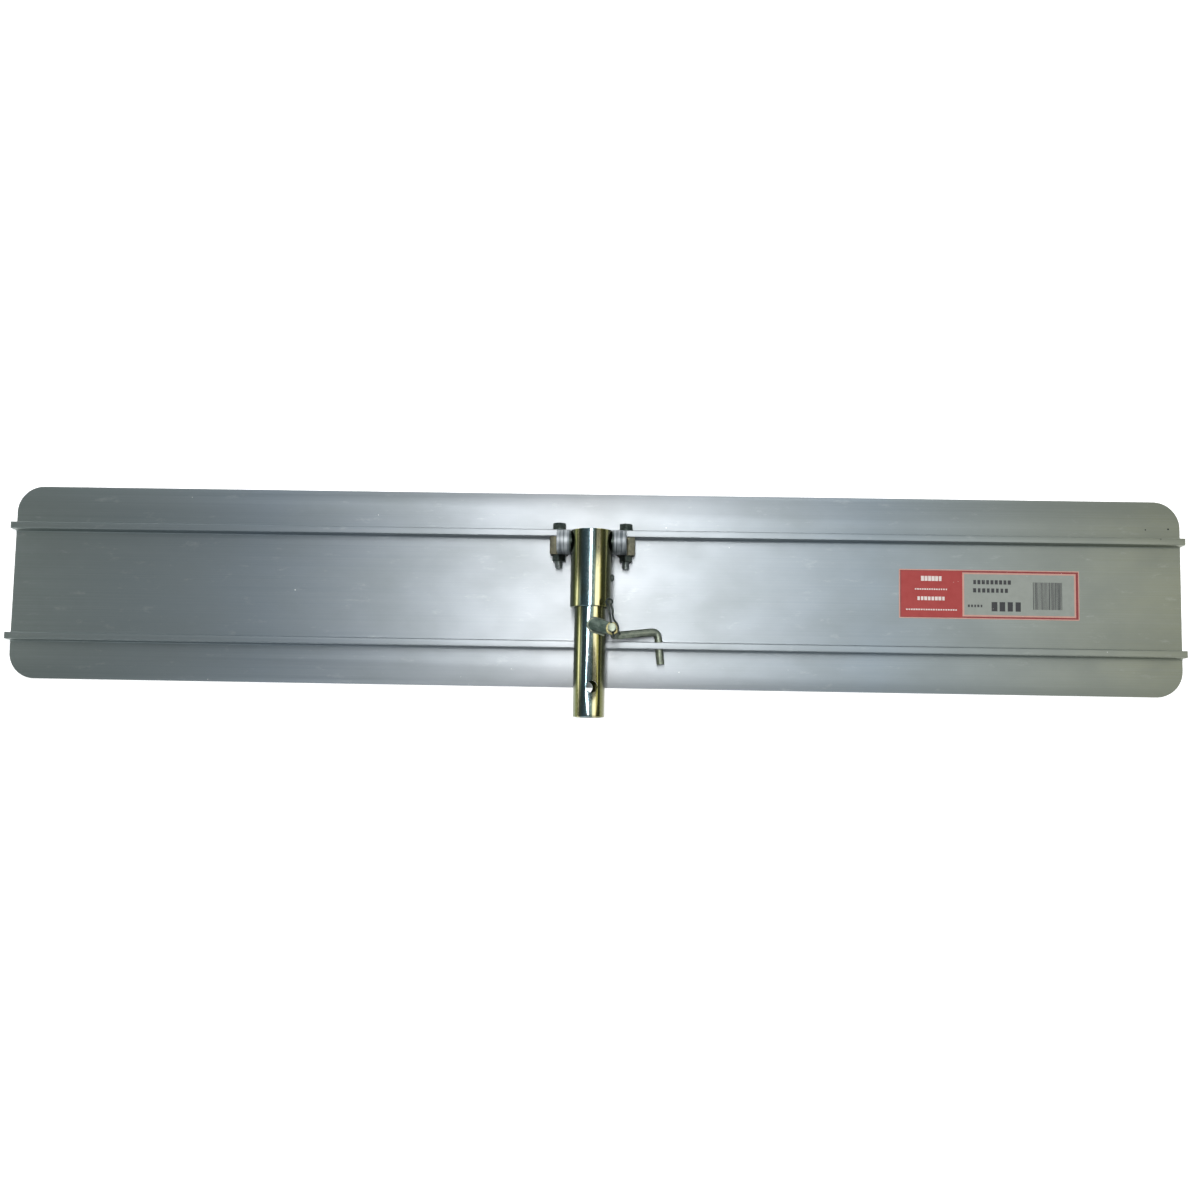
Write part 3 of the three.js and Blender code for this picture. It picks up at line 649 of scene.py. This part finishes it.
profile = ring_profile(tube_radius, tube_bore, tube_low.y, tube_high.y, 1.2)
tube = object_from(moved(turned(profile, 128), (0, 0, axis_z)), "handle_tube_body")
turn = Matrix.Rotation(math.radians(BUTTON_HOLE_TURN), 3, "Y")
hole_at = (0, tube_low.y + BUTTON_HOLE_INSET, axis_z)
drill = moved(round_bar(BUTTON_HOLE_RADIUS, -PAST_WALL, PAST_WALL, "z"), hole_at, turn)
cut(tube, object_from(drill, "cutter"))
sector = arc((0, 0), tube_radius + 2, -SCREW_HALF_ANGLE, TWIST + SCREW_HALF_ANGLE, 16)
sector += arc((0, 0), tube_bore - 2, TWIST + SCREW_HALF_ANGLE, -SCREW_HALF_ANGLE, 16)
slot = prism(sector, screw_y - SCREW_HALF_SLOT, screw_y + SCREW_HALF_SLOT, "y")
cut(tube, object_from(moved(slot, (0, 0, axis_z)), "cutter"))
soften(tube, 0.25, 2, 50)
finish(tube, "handle", "yellow_zinc", "handle_tube", material=TUBE_METAL)

# %% [markdown]
# ## The brackets
# Each bracket is a short block of steel behind the front rib with a round-topped knuckle welded on it. Their
# CAD shapes are right, so a copy of each is cleaned of its triangles and its edges are eased by the amount a
# file or a belt leaves. The pivot pins and the washers get the same treatment with a smaller radius.

# %% Feet, knuckles, pivots and washers
BRACKET_PARTS = (
    # CAD node, piece, body, slot, eased edge in mm, facets of the edge, finish
    ("bracket_foot", "foot", "float_blade", "olive_zinc", 0.6, 3, FOOT_ZINC),
    ("pivot_ear", "knuckle", "float_blade", "bright_knuckle", 0.9, 4, KNUCKLE_METAL),
    ("pivot_pin", "pivot", "sleeve", "dark_zinc", 0.5, 3, DARK_ZINC),
    ("pivot_washer", "spacer", "sleeve", "dark_zinc", 0.25, 2, DARK_ZINC),
    ("clamp_washer", "bolt_washer", "float_blade", "dark_zinc", 0.3, 2, DARK_ZINC),
)
for side in ("left", "right"):
    for node, name, body, slot, ease, facets, metal in BRACKET_PARTS:
        piece = softened_copy(f"{node}_{side}", f"{name}_{side}", ease, facets)
        finish(piece, body, slot, f"{node}_{side}", material=metal)

# %% [markdown]
# ## Clamp bolts with real threads
# An M8 thread climbs 1.25 mm in each turn. The shank is a grid of points around and along the bolt, and each
# point's radius follows the thread's zigzag, shifted by its angle, which makes a true helix. The head is a
# hexagon cut by a shallow cone, the way a turned head gets its round chamfer.

# %% Bolt and nut
THREAD_PITCH = 1.25
THREAD_DEPTH = 0.65
END_CHAMFER = 0.7
HEAD_FLATS = 13.0
HEAD_EDGE = 0.15
CONE_DROP = 0.75
NUT_PLAY = 0.12


def threaded_shank(radius, low, high, around=40, steps_per_turn=8):
    """A threaded rod along Y, with a chamfered rear end at low."""
    rows = int((high - low) / THREAD_PITCH * steps_per_turn)
    bm = bmesh.new()
    rings = []
    for row in range(rows + 1):
        y = low + (high - low) * row / rows
        ring = []
        for i in range(around):
            turn = i / around
            zigzag = abs(2 * ((y / THREAD_PITCH + turn) % 1.0) - 1)
            chamfer = max(0.0, 1.0 - (y - low))
            r = radius - THREAD_DEPTH * zigzag - END_CHAMFER * chamfer
            angle = 2 * math.pi * turn
            ring.append(bm.verts.new((r * math.cos(angle), y, r * math.sin(angle))))
        rings.append(ring)
    for near, far in zip(rings, rings[1:]):
        for i in range(around):
            j = (i + 1) % around
            bm.faces.new((near[i], near[j], far[j], far[i]))
    bm.faces.new(rings[0])
    bm.faces.new(rings[-1])
    return bm


def hexagon_block(name, low, high, chamfer_front, chamfer_rear):
    """A hexagon along Y from low to high, with round chamfers on the chosen ends."""
    corner = HEAD_FLATS / math.sqrt(3)
    outline = [(corner * math.sin(math.pi * k / 3), corner * math.cos(math.pi * k / 3)) for k in range(6)]
    block = object_from(prism(outline, low, high, "y"), name)
    flat = HEAD_FLATS / 2 - HEAD_EDGE
    rim = corner + 2 * HEAD_EDGE
    lower = [(0, low), (flat, low), (rim, low + CONE_DROP)] if chamfer_rear else [(0, low), (rim, low)]
    upper = [(rim, high - CONE_DROP), (flat, high), (0, high)] if chamfer_front else [(rim, high), (0, high)]
    cut(block, object_from(turned(lower + upper, 96, closed=False), "cutter"), "INTERSECT")
    return block


for side, sign in (("left", -1), ("right", 1)):
    low, high = box_mm(f"clamp_bolt_{side}")
    nut_low, nut_high = box_mm(f"clamp_nut_{side}")
    place = Matrix.Translation(Vector((sign * bolt_x, 0, bolt_z)) * MM)
    head_low = box_mm(f"clamp_washer_{side}")[1].y
    head = hexagon_block(f"bolt_head_{side}", head_low, high.y, True, False)
    soften(head, HEAD_EDGE, 2, 40)
    head.data.transform(place)
    finish(head, "float_blade", "dark_zinc", f"clamp_bolt_{side}", material=DARK_ZINC)
    shank = object_from(threaded_shank(BOLT / 2, low.y, head_low), f"bolt_shank_{side}")
    shank.data.transform(place)
    finish(shank, "float_blade", "dark_zinc", material=THREAD_ZINC, smooth_angle=60)
    nut = hexagon_block(f"nut_{side}", nut_low.y, nut_high.y, True, True)
    cut(nut, object_from(round_bar(BOLT / 2 + NUT_PLAY, nut_low.y - 1, nut_high.y + 1), "cutter"))
    soften(nut, HEAD_EDGE, 2, 40)
    nut.data.transform(place)
    finish(nut, "float_blade", "dark_zinc", f"clamp_nut_{side}", material=DARK_ZINC)

# %% [markdown]
# ## The retaining screw
# Its low domed head sits on the sleeve's side, with a slot for a screwdriver. The dome is a turned profile
# and the slot is a straight cut across it. Its point reaches through to the slot in the tube.

# %% Screw
HEAD_RADIUS = 3.8
DOME_RISE = 0.79
DRIVER_SLOT = 1.1
DRIVER_SLOT_FLOOR = 2.0
POINT_RADIUS = 3.0
HEAD_GAP = 0.05
dome = [(0, 0), (HEAD_RADIUS, 0)] + [(x, y * DOME_RISE) for x, y in arc((0, 0), HEAD_RADIUS, 15, 90, 12)]
dome[-1] = (0, dome[-1][1])
sideways = Matrix.Rotation(math.radians(-90), 3, "Z")
screw = object_from(moved(turned(dome, 64, closed=False), turn=sideways), "screw_head")
half = DRIVER_SLOT / 2
across = [(-half, -6), (half, -6), (half, 6), (-half, 6)]
cut(screw, object_from(prism(across, DRIVER_SLOT_FLOOR, 6.0, "x"), "cutter"))
screw.data.transform(Matrix.Translation(Vector((sleeve_radius + HEAD_GAP, screw_y, axis_z)) * MM))
finish(screw, "sleeve", "dark_zinc", "retaining_screw", material=DARK_ZINC)
point = round_bar(POINT_RADIUS, screw_low.x, sleeve_radius + 0.5, "x")
point = object_from(moved(point, (0, screw_y, axis_z)), "screw_point")
soften(point, 0.4)
finish(point, "sleeve", "dark_zinc", material=DARK_ZINC)

# %% [markdown]
# ## A node tree that follows a line
# The crank, the spring clip and the weld beads are all round sections that follow a line. One Geometry Nodes
# tree does that for any of them: it sweeps a circle along the object's own curve, thickens and thins it in
# ripples if asked to, as a weld does, closes its ends and sets its material.

# %% Sweep tree


def sweep_tree():
    tree = bpy.data.node_groups.new("round_sweep", "GeometryNodeTree")
    face = tree.interface
    face.new_socket("Curve", in_out="INPUT", socket_type="NodeSocketGeometry")
    sizes = (("Radius", 0.001), ("Ripple Pitch", 0.001), ("Ripple Depth", 0.0))
    for name, value in sizes:
        face.new_socket(name, in_out="INPUT", socket_type="NodeSocketFloat").default_value = value
    face.new_socket("Sides", in_out="INPUT", socket_type="NodeSocketInt").default_value = 24
    face.new_socket("Material", in_out="INPUT", socket_type="NodeSocketMaterial")
    face.new_socket("Mesh", in_out="OUTPUT", socket_type="NodeSocketGeometry")
    source = add(tree, "NodeGroupInput").outputs
    length = add(tree, "GeometryNodeSplineParameter").outputs["Length"]
    turns = add(tree, "ShaderNodeMath", {0: length, 1: source["Ripple Pitch"]}, operation="DIVIDE")
    phase = add(tree, "ShaderNodeMath", {0: turns, 1: math.tau}, operation="MULTIPLY")
    wave = add(tree, "ShaderNodeMath", {0: phase}, operation="SINE")
    ripple = add(tree, "ShaderNodeMath", {0: wave, 1: source["Ripple Depth"]}, operation="MULTIPLY")
    scale = add(tree, "ShaderNodeMath", {0: ripple, 1: 1.0}, operation="ADD")
    section = {"Resolution": source["Sides"], "Radius": source["Radius"]}
    circle = add(tree, "GeometryNodeCurvePrimitiveCircle", section)
    line = {"Curve": source["Curve"], "Profile Curve": circle, "Scale": scale, "Fill Caps": True}
    real = add(tree, "GeometryNodeRealizeInstances", {"Geometry": add(tree, "GeometryNodeCurveToMesh", line)})
    dressed = add(tree, "GeometryNodeSetMaterial", {"Geometry": real, "Material": source["Material"]})
    add(tree, "NodeGroupOutput", {"Mesh": dressed})
    return tree


SWEEP = sweep_tree()


def run_tree(obj, tree, values):
    """Runs a node tree on an object, and returns the result as a plain mesh object with the same name."""
    modifier = obj.modifiers.new("nodes", "NODES")
    modifier.node_group = tree
    sockets = {item.name: item.identifier for item in tree.interface.items_tree if item.in_out == "INPUT"}
    for name, value in values.items():
        modifier[sockets[name]] = value
    bpy.context.view_layer.update()
    mesh = bpy.data.meshes.new_from_object(obj.evaluated_get(bpy.context.evaluated_depsgraph_get()))
    name = obj.name
    bpy.data.objects.remove(obj)
    made = link_object(name, mesh)
    made.name = name
    return made


def swept_along(name, points_mm, radius_mm, material, sides=24, ripple_mm=1.0, ripple_depth=0.0):
    curve = bpy.data.curves.new(name, "CURVE")
    curve.dimensions = "3D"
    spline = curve.splines.new("POLY")
    spline.points.add(len(points_mm) - 1)
    for point, place in zip(spline.points, points_mm):
        point.co = (*(Vector(place) * MM), 1)
    values = {"Radius": radius_mm * MM, "Ripple Pitch": ripple_mm * MM, "Ripple Depth": ripple_depth}
    values.update({"Sides": sides, "Material": material})
    return run_tree(link_object(name, curve), SWEEP, values)


print("sweep tree has", len(SWEEP.nodes), "nodes")

# %% [markdown]
# ## The bracket welds
# A fillet of weld joins each knuckle to its foot, along the corner where the two meet. It is one short run
# of the sweep tree, with the ripples a welder leaves about every 1.5 mm.

# %% Bracket weld beads
WELD_RADIUS = 1.2
WELD_INSET = 1.8
WELD_LENGTH = 15.2
WELD_RISE = 0.3
WELD_STEPS = 30
WELD_RIPPLES = {"sides": 12, "ripple_mm": 1.5, "ripple_depth": 0.14}
for side, sign in (("left", -1), ("right", 1)):
    ear_low, ear_high = box_mm(f"pivot_ear_{side}")
    seam_x = (ear_high.x if sign > 0 else ear_low.x) + sign * WELD_RISE
    start_y = ear_low.y + WELD_INSET
    steps = [WELD_LENGTH * i / WELD_STEPS for i in range(WELD_STEPS + 1)]
    seam = [(seam_x, start_y + step, ear_low.z + WELD_RISE) for step in steps]
    bead = swept_along(f"knuckle_weld_{side}", seam, WELD_RADIUS, FOOT_ZINC, **WELD_RIPPLES)
    finish(bead, "float_blade", "olive_zinc", material=FOOT_ZINC, smooth_angle=80)

# %% [markdown]
# ## The crank
# The crank is one 8 mm rod, bent twice. Its pin stands up beside the tube through a flat lug, its arm runs
# out and down along the rear rib, and its peg points back through the rib's slot. A straight line between
# four corners is rounded at the two inner ones, and the sweep tree does the rest.

# %% Crank rod
ROD_RADIUS = 4.0
BEND = 7.0
PIN_GAP = 6.3
PIN_AHEAD = 13.7
PIN_TOP = 8.0
PIN_LEAN_OUT = 2.0
PIN_LEAN_BACK = 4.7
ARM_RISE = 13.0
ARM_REACH = 45.7
ARM_AHEAD = 11.4
PEG_OUT = 3.3
PEG_LENGTH = 33.3
lug_low, lug_high = box_mm("crank_lug")
clip_low, clip_high = box_mm("r_clip")
clip_z = (clip_low.z + clip_high.z) / 2
pin_x = tube_radius + PIN_GAP
pin_y = -rib_y + PIN_AHEAD
arm_x = pin_x + ARM_REACH
arm_y = -rib_y + RIB_WIDTH / 2 + ARM_AHEAD
crank_corners = [
    Vector((pin_x, pin_y, lug_high.z + PIN_TOP)),
    Vector((pin_x + PIN_LEAN_OUT, pin_y - PIN_LEAN_BACK, slot_z + ARM_RISE)),
    Vector((arm_x, arm_y, slot_z)),
    Vector((arm_x + PEG_OUT, arm_y - PEG_LENGTH, slot_z)),
]


def bent_line(corners, radius, steps=14):
    """A line through corners, each inner one rounded by a smooth bend."""
    points = [corners[0]]
    for before, corner, after in zip(corners, corners[1:], corners[2:]):
        back = (before - corner).normalized()
        ahead = (after - corner).normalized()
        trim = radius / math.tan(back.angle(ahead) / 2)
        start, end = corner + back * trim, corner + ahead * trim
        for i in range(steps + 1):
            t = i / steps
            points.append(start * (1 - t) ** 2 + corner * 2 * t * (1 - t) + end * t ** 2)
    return points + [corners[-1]]


def pin_at(z):
    """The point on the pin's middle line at a height."""
    top, bend = crank_corners[0], crank_corners[1]
    return top.lerp(bend, (top.z - z) / (top.z - bend.z))


CLIP_TURN = Matrix.Rotation(math.radians(11), 3, "Z")
CLIP_HOLE_RADIUS = 1.25
rod = swept_along("crank_bar", bent_line(crank_corners, BEND), ROD_RADIUS, OLIVE_ZINC, sides=48)
drill = round_bar(CLIP_HOLE_RADIUS, -3 * ROD_RADIUS, 3 * ROD_RADIUS)
cut(rod, object_from(moved(drill, pin_at(clip_z), CLIP_TURN), "cutter"))
soften(rod, 0.7, 3, 50)
finish(rod, "handle", "olive_zinc", "crank_rod", material=OLIVE_ZINC)

# %% [markdown]
# ## The lug and its weld
# The lug is a flat bar with round ends, coped to sit on the tube and welded all round. Its CAD shape is
# right, so it is a softened copy. The bead follows the line where the lug meets the tube, and its ripples
# are the welder's, about 1.6 mm apart.

# %% Lug, washer and weld beads
lug = softened_copy("crank_lug", "lug_plate", 0.7, 3)
finish(lug, "handle", "olive_zinc", "crank_lug", material=SHADED_LUG_ZINC)
disc = softened_copy("crank_washer", "pin_washer", 0.3, 2)
finish(disc, "handle", "yellow_zinc", "crank_washer", material=PALE_ZINC)

LUG_TURN = math.radians(-13)
LUG_WIDTH = 12.5
LUG_REACH = 18.0
SEAM_OUT = 0.6
SEAM_SIDE = (-7.5, -10, -12.5, -15)
BEAD_RADIUS = 1.3


def on_tube(x, y):
    """The point on the tube's top surface above (x, y)."""
    return Vector((x, y, axis_z + math.sqrt(max(0.0, tube_radius ** 2 - x * x))))


def lug_seam():
    """The line where the lug's edge meets the tube: along one side, round the end and back."""
    middle = pin_at((lug_low.z + lug_high.z) / 2)
    along = Vector((math.cos(LUG_TURN), math.sin(LUG_TURN)))
    across = Vector((-along.y, along.x))
    half = LUG_WIDTH / 2 + SEAM_OUT
    outline = [(u, half) for u in SEAM_SIDE]
    outline += arc((-LUG_REACH, 0), half, 90, 270, 16)
    outline += [(u, -half) for u in reversed(SEAM_SIDE)]
    places = [along * u + across * v for u, v in outline]
    return [on_tube(middle.x + place.x, middle.y + place.y) for place in places]


ripples = {"sides": 12, "ripple_mm": 1.6, "ripple_depth": 0.12}
bead = swept_along("lug_weld", lug_seam(), BEAD_RADIUS, OLIVE_ZINC, **ripples)
finish(bead, "handle", "olive_zinc", material=OLIVE_ZINC, smooth_angle=80)

# %% [markdown]
# ## The spring clip
# The clip is one length of 2 mm wire: a straight leg through the pin, a ring at the back that makes it
# springy, and a leg that bows round the outside of the pin. Its points are listed one by one and a smooth
# curve runs through them, as wire does.

# %% Clip
WIRE = 1.0
RING = 3.0
REACH = 26.0
TAIL = 9.0
CLEAR = ROD_RADIUS + WIRE + 0.3


def smooth_line(points, steps=8):
    """A smooth curve through the points (centripetal Catmull-Rom)."""
    padded = [points[0] * 2 - points[1]] + points + [points[-1] * 2 - points[-2]]
    line = []
    for p0, p1, p2, p3 in zip(padded, padded[1:], padded[2:], padded[3:]):
        t1 = (p1 - p0).length ** 0.5
        t2 = t1 + (p2 - p1).length ** 0.5
        t3 = t2 + (p3 - p2).length ** 0.5
        for i in range(steps):
            t = t1 + (t2 - t1) * i / steps
            share = (t - t1) / (t2 - t1)
            a1 = p0.lerp(p1, t / t1)
            a2 = p1.lerp(p2, share)
            a3 = p2.lerp(p3, (t - t2) / (t3 - t2))
            line.append(a1.lerp(a2, t / t2).lerp(a2.lerp(a3, (t - t1) / (t3 - t1)), share))
    return line + [points[-1]]


def clip_line():
    """The straight leg, the ring and the bowed leg, laid flat, then turned and lifted to the pin's hole."""
    flat = [(0, -TAIL), (0, 0), (0, 12)]
    flat += arc((RING * 0.55, REACH), RING, 235, -55, 10)
    flat += [(3.6, 18), (2.9, 13), (3.2, 8), (CLEAR + 0.1, 3.4), (CLEAR + 0.6, 0), (CLEAR + 0.3, -4)]
    flat += [(CLEAR + 1.6, -TAIL + 1)]
    smooth = smooth_line([Vector((x, y, 0)) for x, y in flat])
    return [pin_at(clip_z) + CLIP_TURN @ point for point in smooth]


clip = swept_along("spring_clip", clip_line(), WIRE, WIRE_ZINC, sides=20)
soften(clip, 0.25, 2, 60)
finish(clip, "clip", "dark_zinc", "r_clip", material=WIRE_ZINC)

# %% [markdown]
# ## The label
# The label is a thin film with a red block on the left, a silver panel on the right and a fine border. The
# words, the number and the bar code of a real one are left out: plain bars stand for lines of print, and an
# even comb of strokes fills the code's place. Each ink is its own thin sheet, a few hundredths of a
# millimetre proud of the one below, so the colours stay crisp at any distance.

# %% Label sheets
label_low, label_high = box_mm("label")
LAYER = 0.03
TOP_LAYER = 4


def ink(name, x0, x1, y0, y1, layer, material, radius=0.3):
    """A flat patch of ink with small round corners, in millimetres from the label's lower left corner."""
    half_x, half_y = (x1 - x0) / 2, (y1 - y0) / 2
    outline = rounded_outline(half_x, half_y, radius, 4)
    top = label_high.z - LAYER * (TOP_LAYER - layer)
    low = label_low.z if layer == 0 else label_high.z - LAYER * (TOP_LAYER + 1 - layer)
    patch = prism(outline, low, top)
    moved(patch, (label_low.x + (x0 + x1) / 2, label_low.y + (y0 + y1) / 2, 0))
    obj = object_from(patch, name)
    nodes = ("label",) if layer == 0 else ()
    return finish(obj, "float_blade", "label_film", *nodes, material=material)


label_length = label_high.x - label_low.x
label_width = label_high.y - label_low.y
RED_EDGE = 64.5
ink("label_film", 0, label_length, 0, label_width, 0, FILM_PALE, 1.0)
ink("label_border", 1.2, label_length - 1.0, 1.0, label_width - 1.0, 1, FILM_BORDER)
ink("label_red_block", 2.4, RED_EDGE, 1.6, label_width - 1.6, 2, FILM_RED)
ink("label_inner_line", RED_EDGE, label_length - 3.4, 2.6, label_width - 2.8, 2, FILM_PALE)
ink("label_panel", RED_EDGE + 1.8, label_length - 5.0, 4.2, label_width - 4.4, 3, FILM_SILVER)

# %% [markdown]
# ## Rows of print made by a node tree
# Print repeats: short bars in a row stand for words, and strokes stand for a code. A small tree places a run
# of boxes along X, each with a width picked from a fixed seed, so the same rows come out on every run.

# %% Print rows tree


def print_rows_tree():
    tree = bpy.data.node_groups.new("print_row", "GeometryNodeTree")
    face = tree.interface
    face.new_socket("Count", in_out="INPUT", socket_type="NodeSocketInt").default_value = 5
    for name in ("Step", "Narrowest", "Widest", "Height", "Thickness"):
        face.new_socket(name, in_out="INPUT", socket_type="NodeSocketFloat").default_value = 0.001
    face.new_socket("Seed", in_out="INPUT", socket_type="NodeSocketInt")
    face.new_socket("Material", in_out="INPUT", socket_type="NodeSocketMaterial")
    face.new_socket("Mesh", in_out="OUTPUT", socket_type="NodeSocketGeometry")
    source = add(tree, "NodeGroupInput").outputs
    offset = add(tree, "ShaderNodeCombineXYZ", {"X": source["Step"]})
    row = add(tree, "GeometryNodeMeshLine", {"Count": source["Count"], "Offset": offset}, mode="OFFSET")
    box = add(tree, "GeometryNodeMeshCube", {"Size": (1, 1, 1)})
    span = {2: source["Narrowest"], 3: source["Widest"], "Seed": source["Seed"]}
    width = add(tree, "FunctionNodeRandomValue", span, data_type="FLOAT").outputs[1]
    size = add(tree, "ShaderNodeCombineXYZ", {"X": width, "Y": source["Height"], "Z": source["Thickness"]})
    copies = add(tree, "GeometryNodeInstanceOnPoints", {"Points": row, "Instance": box, "Scale": size})
    real = add(tree, "GeometryNodeRealizeInstances", {"Geometry": copies})
    dressed = add(tree, "GeometryNodeSetMaterial", {"Geometry": real, "Material": source["Material"]})
    add(tree, "NodeGroupOutput", {"Mesh": dressed})
    return tree


PRINT_ROW = print_rows_tree()


def print_row(name, x, y, count, step, widths, height, material, seed):
    """A row of bars on the label's top layer, from (x, y) in millimetres from its lower left corner."""
    values = {"Count": count, "Step": step * MM, "Narrowest": widths[0] * MM, "Widest": widths[1] * MM}
    values.update({"Height": height * MM, "Thickness": LAYER * MM, "Seed": seed, "Material": material})
    row = run_tree(link_object(name, bpy.data.meshes.new(name)), PRINT_ROW, values)
    place = Vector((label_low.x + x, label_low.y + y, label_high.z - LAYER / 2)) * MM
    row.data.transform(Matrix.Translation(place))
    return finish(row, "float_blade", "label_film", material=material)


PRINT_ROWS = (
    # name, left, bottom, bars, step, narrowest and widest bar, height, ink, seed
    ("print_red_heading", 24, 41.0, 6, 3.6, (2.4, 3.2), 5.0, FILM_WHITE, 3),
    ("print_red_line", 17, 30.0, 14, 2.4, (1.2, 1.9), 1.4, FILM_WHITE, 5),
    ("print_red_name", 20, 20.5, 8, 3.6, (2.2, 3.0), 3.8, FILM_WHITE, 8),
    ("print_red_foot", 8, 9.0, 21, 2.5, (1.2, 2.0), 1.4, FILM_WHITE, 11),
    ("print_panel_heading", 77, 38.0, 9, 4.4, (2.6, 3.4), 4.4, FILM_BLACK, 2),
    ("print_panel_line", 77, 29.5, 8, 4.6, (2.6, 3.4), 4.4, FILM_BLACK, 4),
    ("print_panel_small", 71, 13.5, 5, 3.2, (1.6, 2.3), 2.6, FILM_BLACK, 6),
    ("print_panel_large", 97, 13.0, 4, 8.0, (5.2, 6.2), 9.6, FILM_BLACK, 7),
    ("print_code", 136.5, 24.5, 24, 1.25, (0.35, 0.95), 28.0, FILM_BLACK, 9),
)
for row in PRINT_ROWS:
    print_row(*row)

# %% [markdown]
# ## The floor
# The float lies on a pale board. A metal tool shows what it mirrors, so the board is plain, and it glows a
# little of its own, so it stays white out to its far edge however dim the lamps are.

# %% Floor
FLOOR_HALF = 20000
FLOOR_GAP = 0.2
FLOOR_THICKNESS = 5.8


def pale_floor():
    material, tree, shader = new_material("matt_white_board", "#f6f6f4", 0.9, 0.0)
    tone = tinted(tree, linear("#f4f4f2"), mottle(tree, (300, 300, 300), 2.0), (0.3, 0.7), 1.0, "#f9f9f8")
    tree.links.new(tone, shader.inputs["Base Color"])
    shader.inputs["Emission Color"].default_value = linear("#ffffff")
    shader.inputs["Emission Strength"].default_value = 0.6
    corners = [(x * FLOOR_HALF, y * FLOOR_HALF) for x, y in ((-1, -1), (1, -1), (1, 1), (-1, 1))]
    board = prism(corners, -FLOOR_GAP - FLOOR_THICKNESS, -FLOOR_GAP)
    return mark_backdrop(object_from(board, "floor", material))


pale_floor()
print("floor laid")

# %% [markdown]
# ## Lamps and air
# A narrow strip lamp hangs beside the camera. The blade mirrors it as a broad glow in the middle and falls
# away to grey at its ends. Two soft boxes, one on each side, draw the bright streaks along the tubes. The
# air is dim, apart from two brighter walls low down ahead of the float and behind it, which light the
# views from the side.

# %% Light


def soft_box(name, place, aim, size, power):
    light = bpy.data.lights.new(name, "AREA")
    light.shape = "RECTANGLE"
    light.size, light.size_y = size
    light.energy = power
    lamp = link_object(name, light)
    lamp.location = place
    lamp.rotation_euler = (Vector(aim) - Vector(place)).to_track_quat("-Z", "Y").to_euler()
    lamp.visible_camera = False
    return lamp


soft_box("strip_over_camera", (-0.03, 0.27, 1.75), (-0.03, 0.0, 0.0), (0.16, 1.1), 21.5)
soft_box("box_right", (1.34, 0.0, 1.8), (0, 0, 0.04), (0.85, 1.6), 8)
soft_box("box_left", (-2.2, 0.0, 0.5), (0, 0, 0.04), (0.34, 1.8), 4)

# %% Air
DIM_AIR = 0.24
WALL_GLOW = 0.9
world = bpy.data.worlds.new("studio_air")
world.use_nodes = True
air = world.node_tree
seen_directly = add(air, "ShaderNodeLightPath").outputs["Is Camera Ray"]
direction = add(air, "ShaderNodeTexCoord").outputs["Generated"]
way = add(air, "ShaderNodeSeparateXYZ", {"Vector": direction}).outputs
level = add(air, "ShaderNodeMath", {0: way["Y"]}, operation="ABSOLUTE")
ahead_or_behind = add(air, "ShaderNodeMapRange", {0: level, 1: 0.3, 2: 0.5})
low_down = add(air, "ShaderNodeMapRange", {0: way["Z"], 1: 0.75, 2: 0.5})
wall = add(air, "ShaderNodeMath", {0: ahead_or_behind, 1: low_down}, operation="MULTIPLY")
glow = add(air, "ShaderNodeMapRange", {0: wall, 3: DIM_AIR, 4: WALL_GLOW})
strength = add(air, "ShaderNodeMix", {0: seen_directly, 2: glow, 3: 1.0}).outputs[0]
colour = tinted(air, linear("#e6edf2"), seen_directly, (0, 1), 1.0, "#f7f7f6")
air.links.new(colour, air.nodes["Background"].inputs["Color"])
air.links.new(strength, air.nodes["Background"].inputs["Strength"])
bpy.context.scene.world = world
bpy.context.scene.view_settings.view_transform = "Standard"

# %% [markdown]
# ## The camera
# It looks almost straight down, from a little on the handle's side, and is rolled by about twelve degrees.

# %% Camera
CAMERA_AT = Vector((0.0477, -0.1812, 1.5844))
CAMERA_AIM = Vector((0.0084, -0.0094, 0.0))
CAMERA_ROLL = math.radians(-11.906)
LENS = 46.5
SENSOR = 36.0

camera_data = bpy.data.cameras.new("camera")
camera_data.lens = LENS
camera_data.sensor_width = SENSOR
camera = link_object("camera", camera_data)
forward = (CAMERA_AIM - CAMERA_AT).normalized()
right = forward.cross(Vector((0, 0, 1))).normalized()
up = right.cross(forward)
rolled_right = right * math.cos(CAMERA_ROLL) + up * math.sin(CAMERA_ROLL)
rolled_up = up * math.cos(CAMERA_ROLL) - right * math.sin(CAMERA_ROLL)
axes = Matrix((rolled_right, rolled_up, -forward)).transposed()
camera.matrix_world = Matrix.Translation(CAMERA_AT) @ axes.to_4x4()
bpy.context.scene.camera = camera
print(f"camera {CAMERA_AT.z:.2f} m up, {LENS} mm lens")
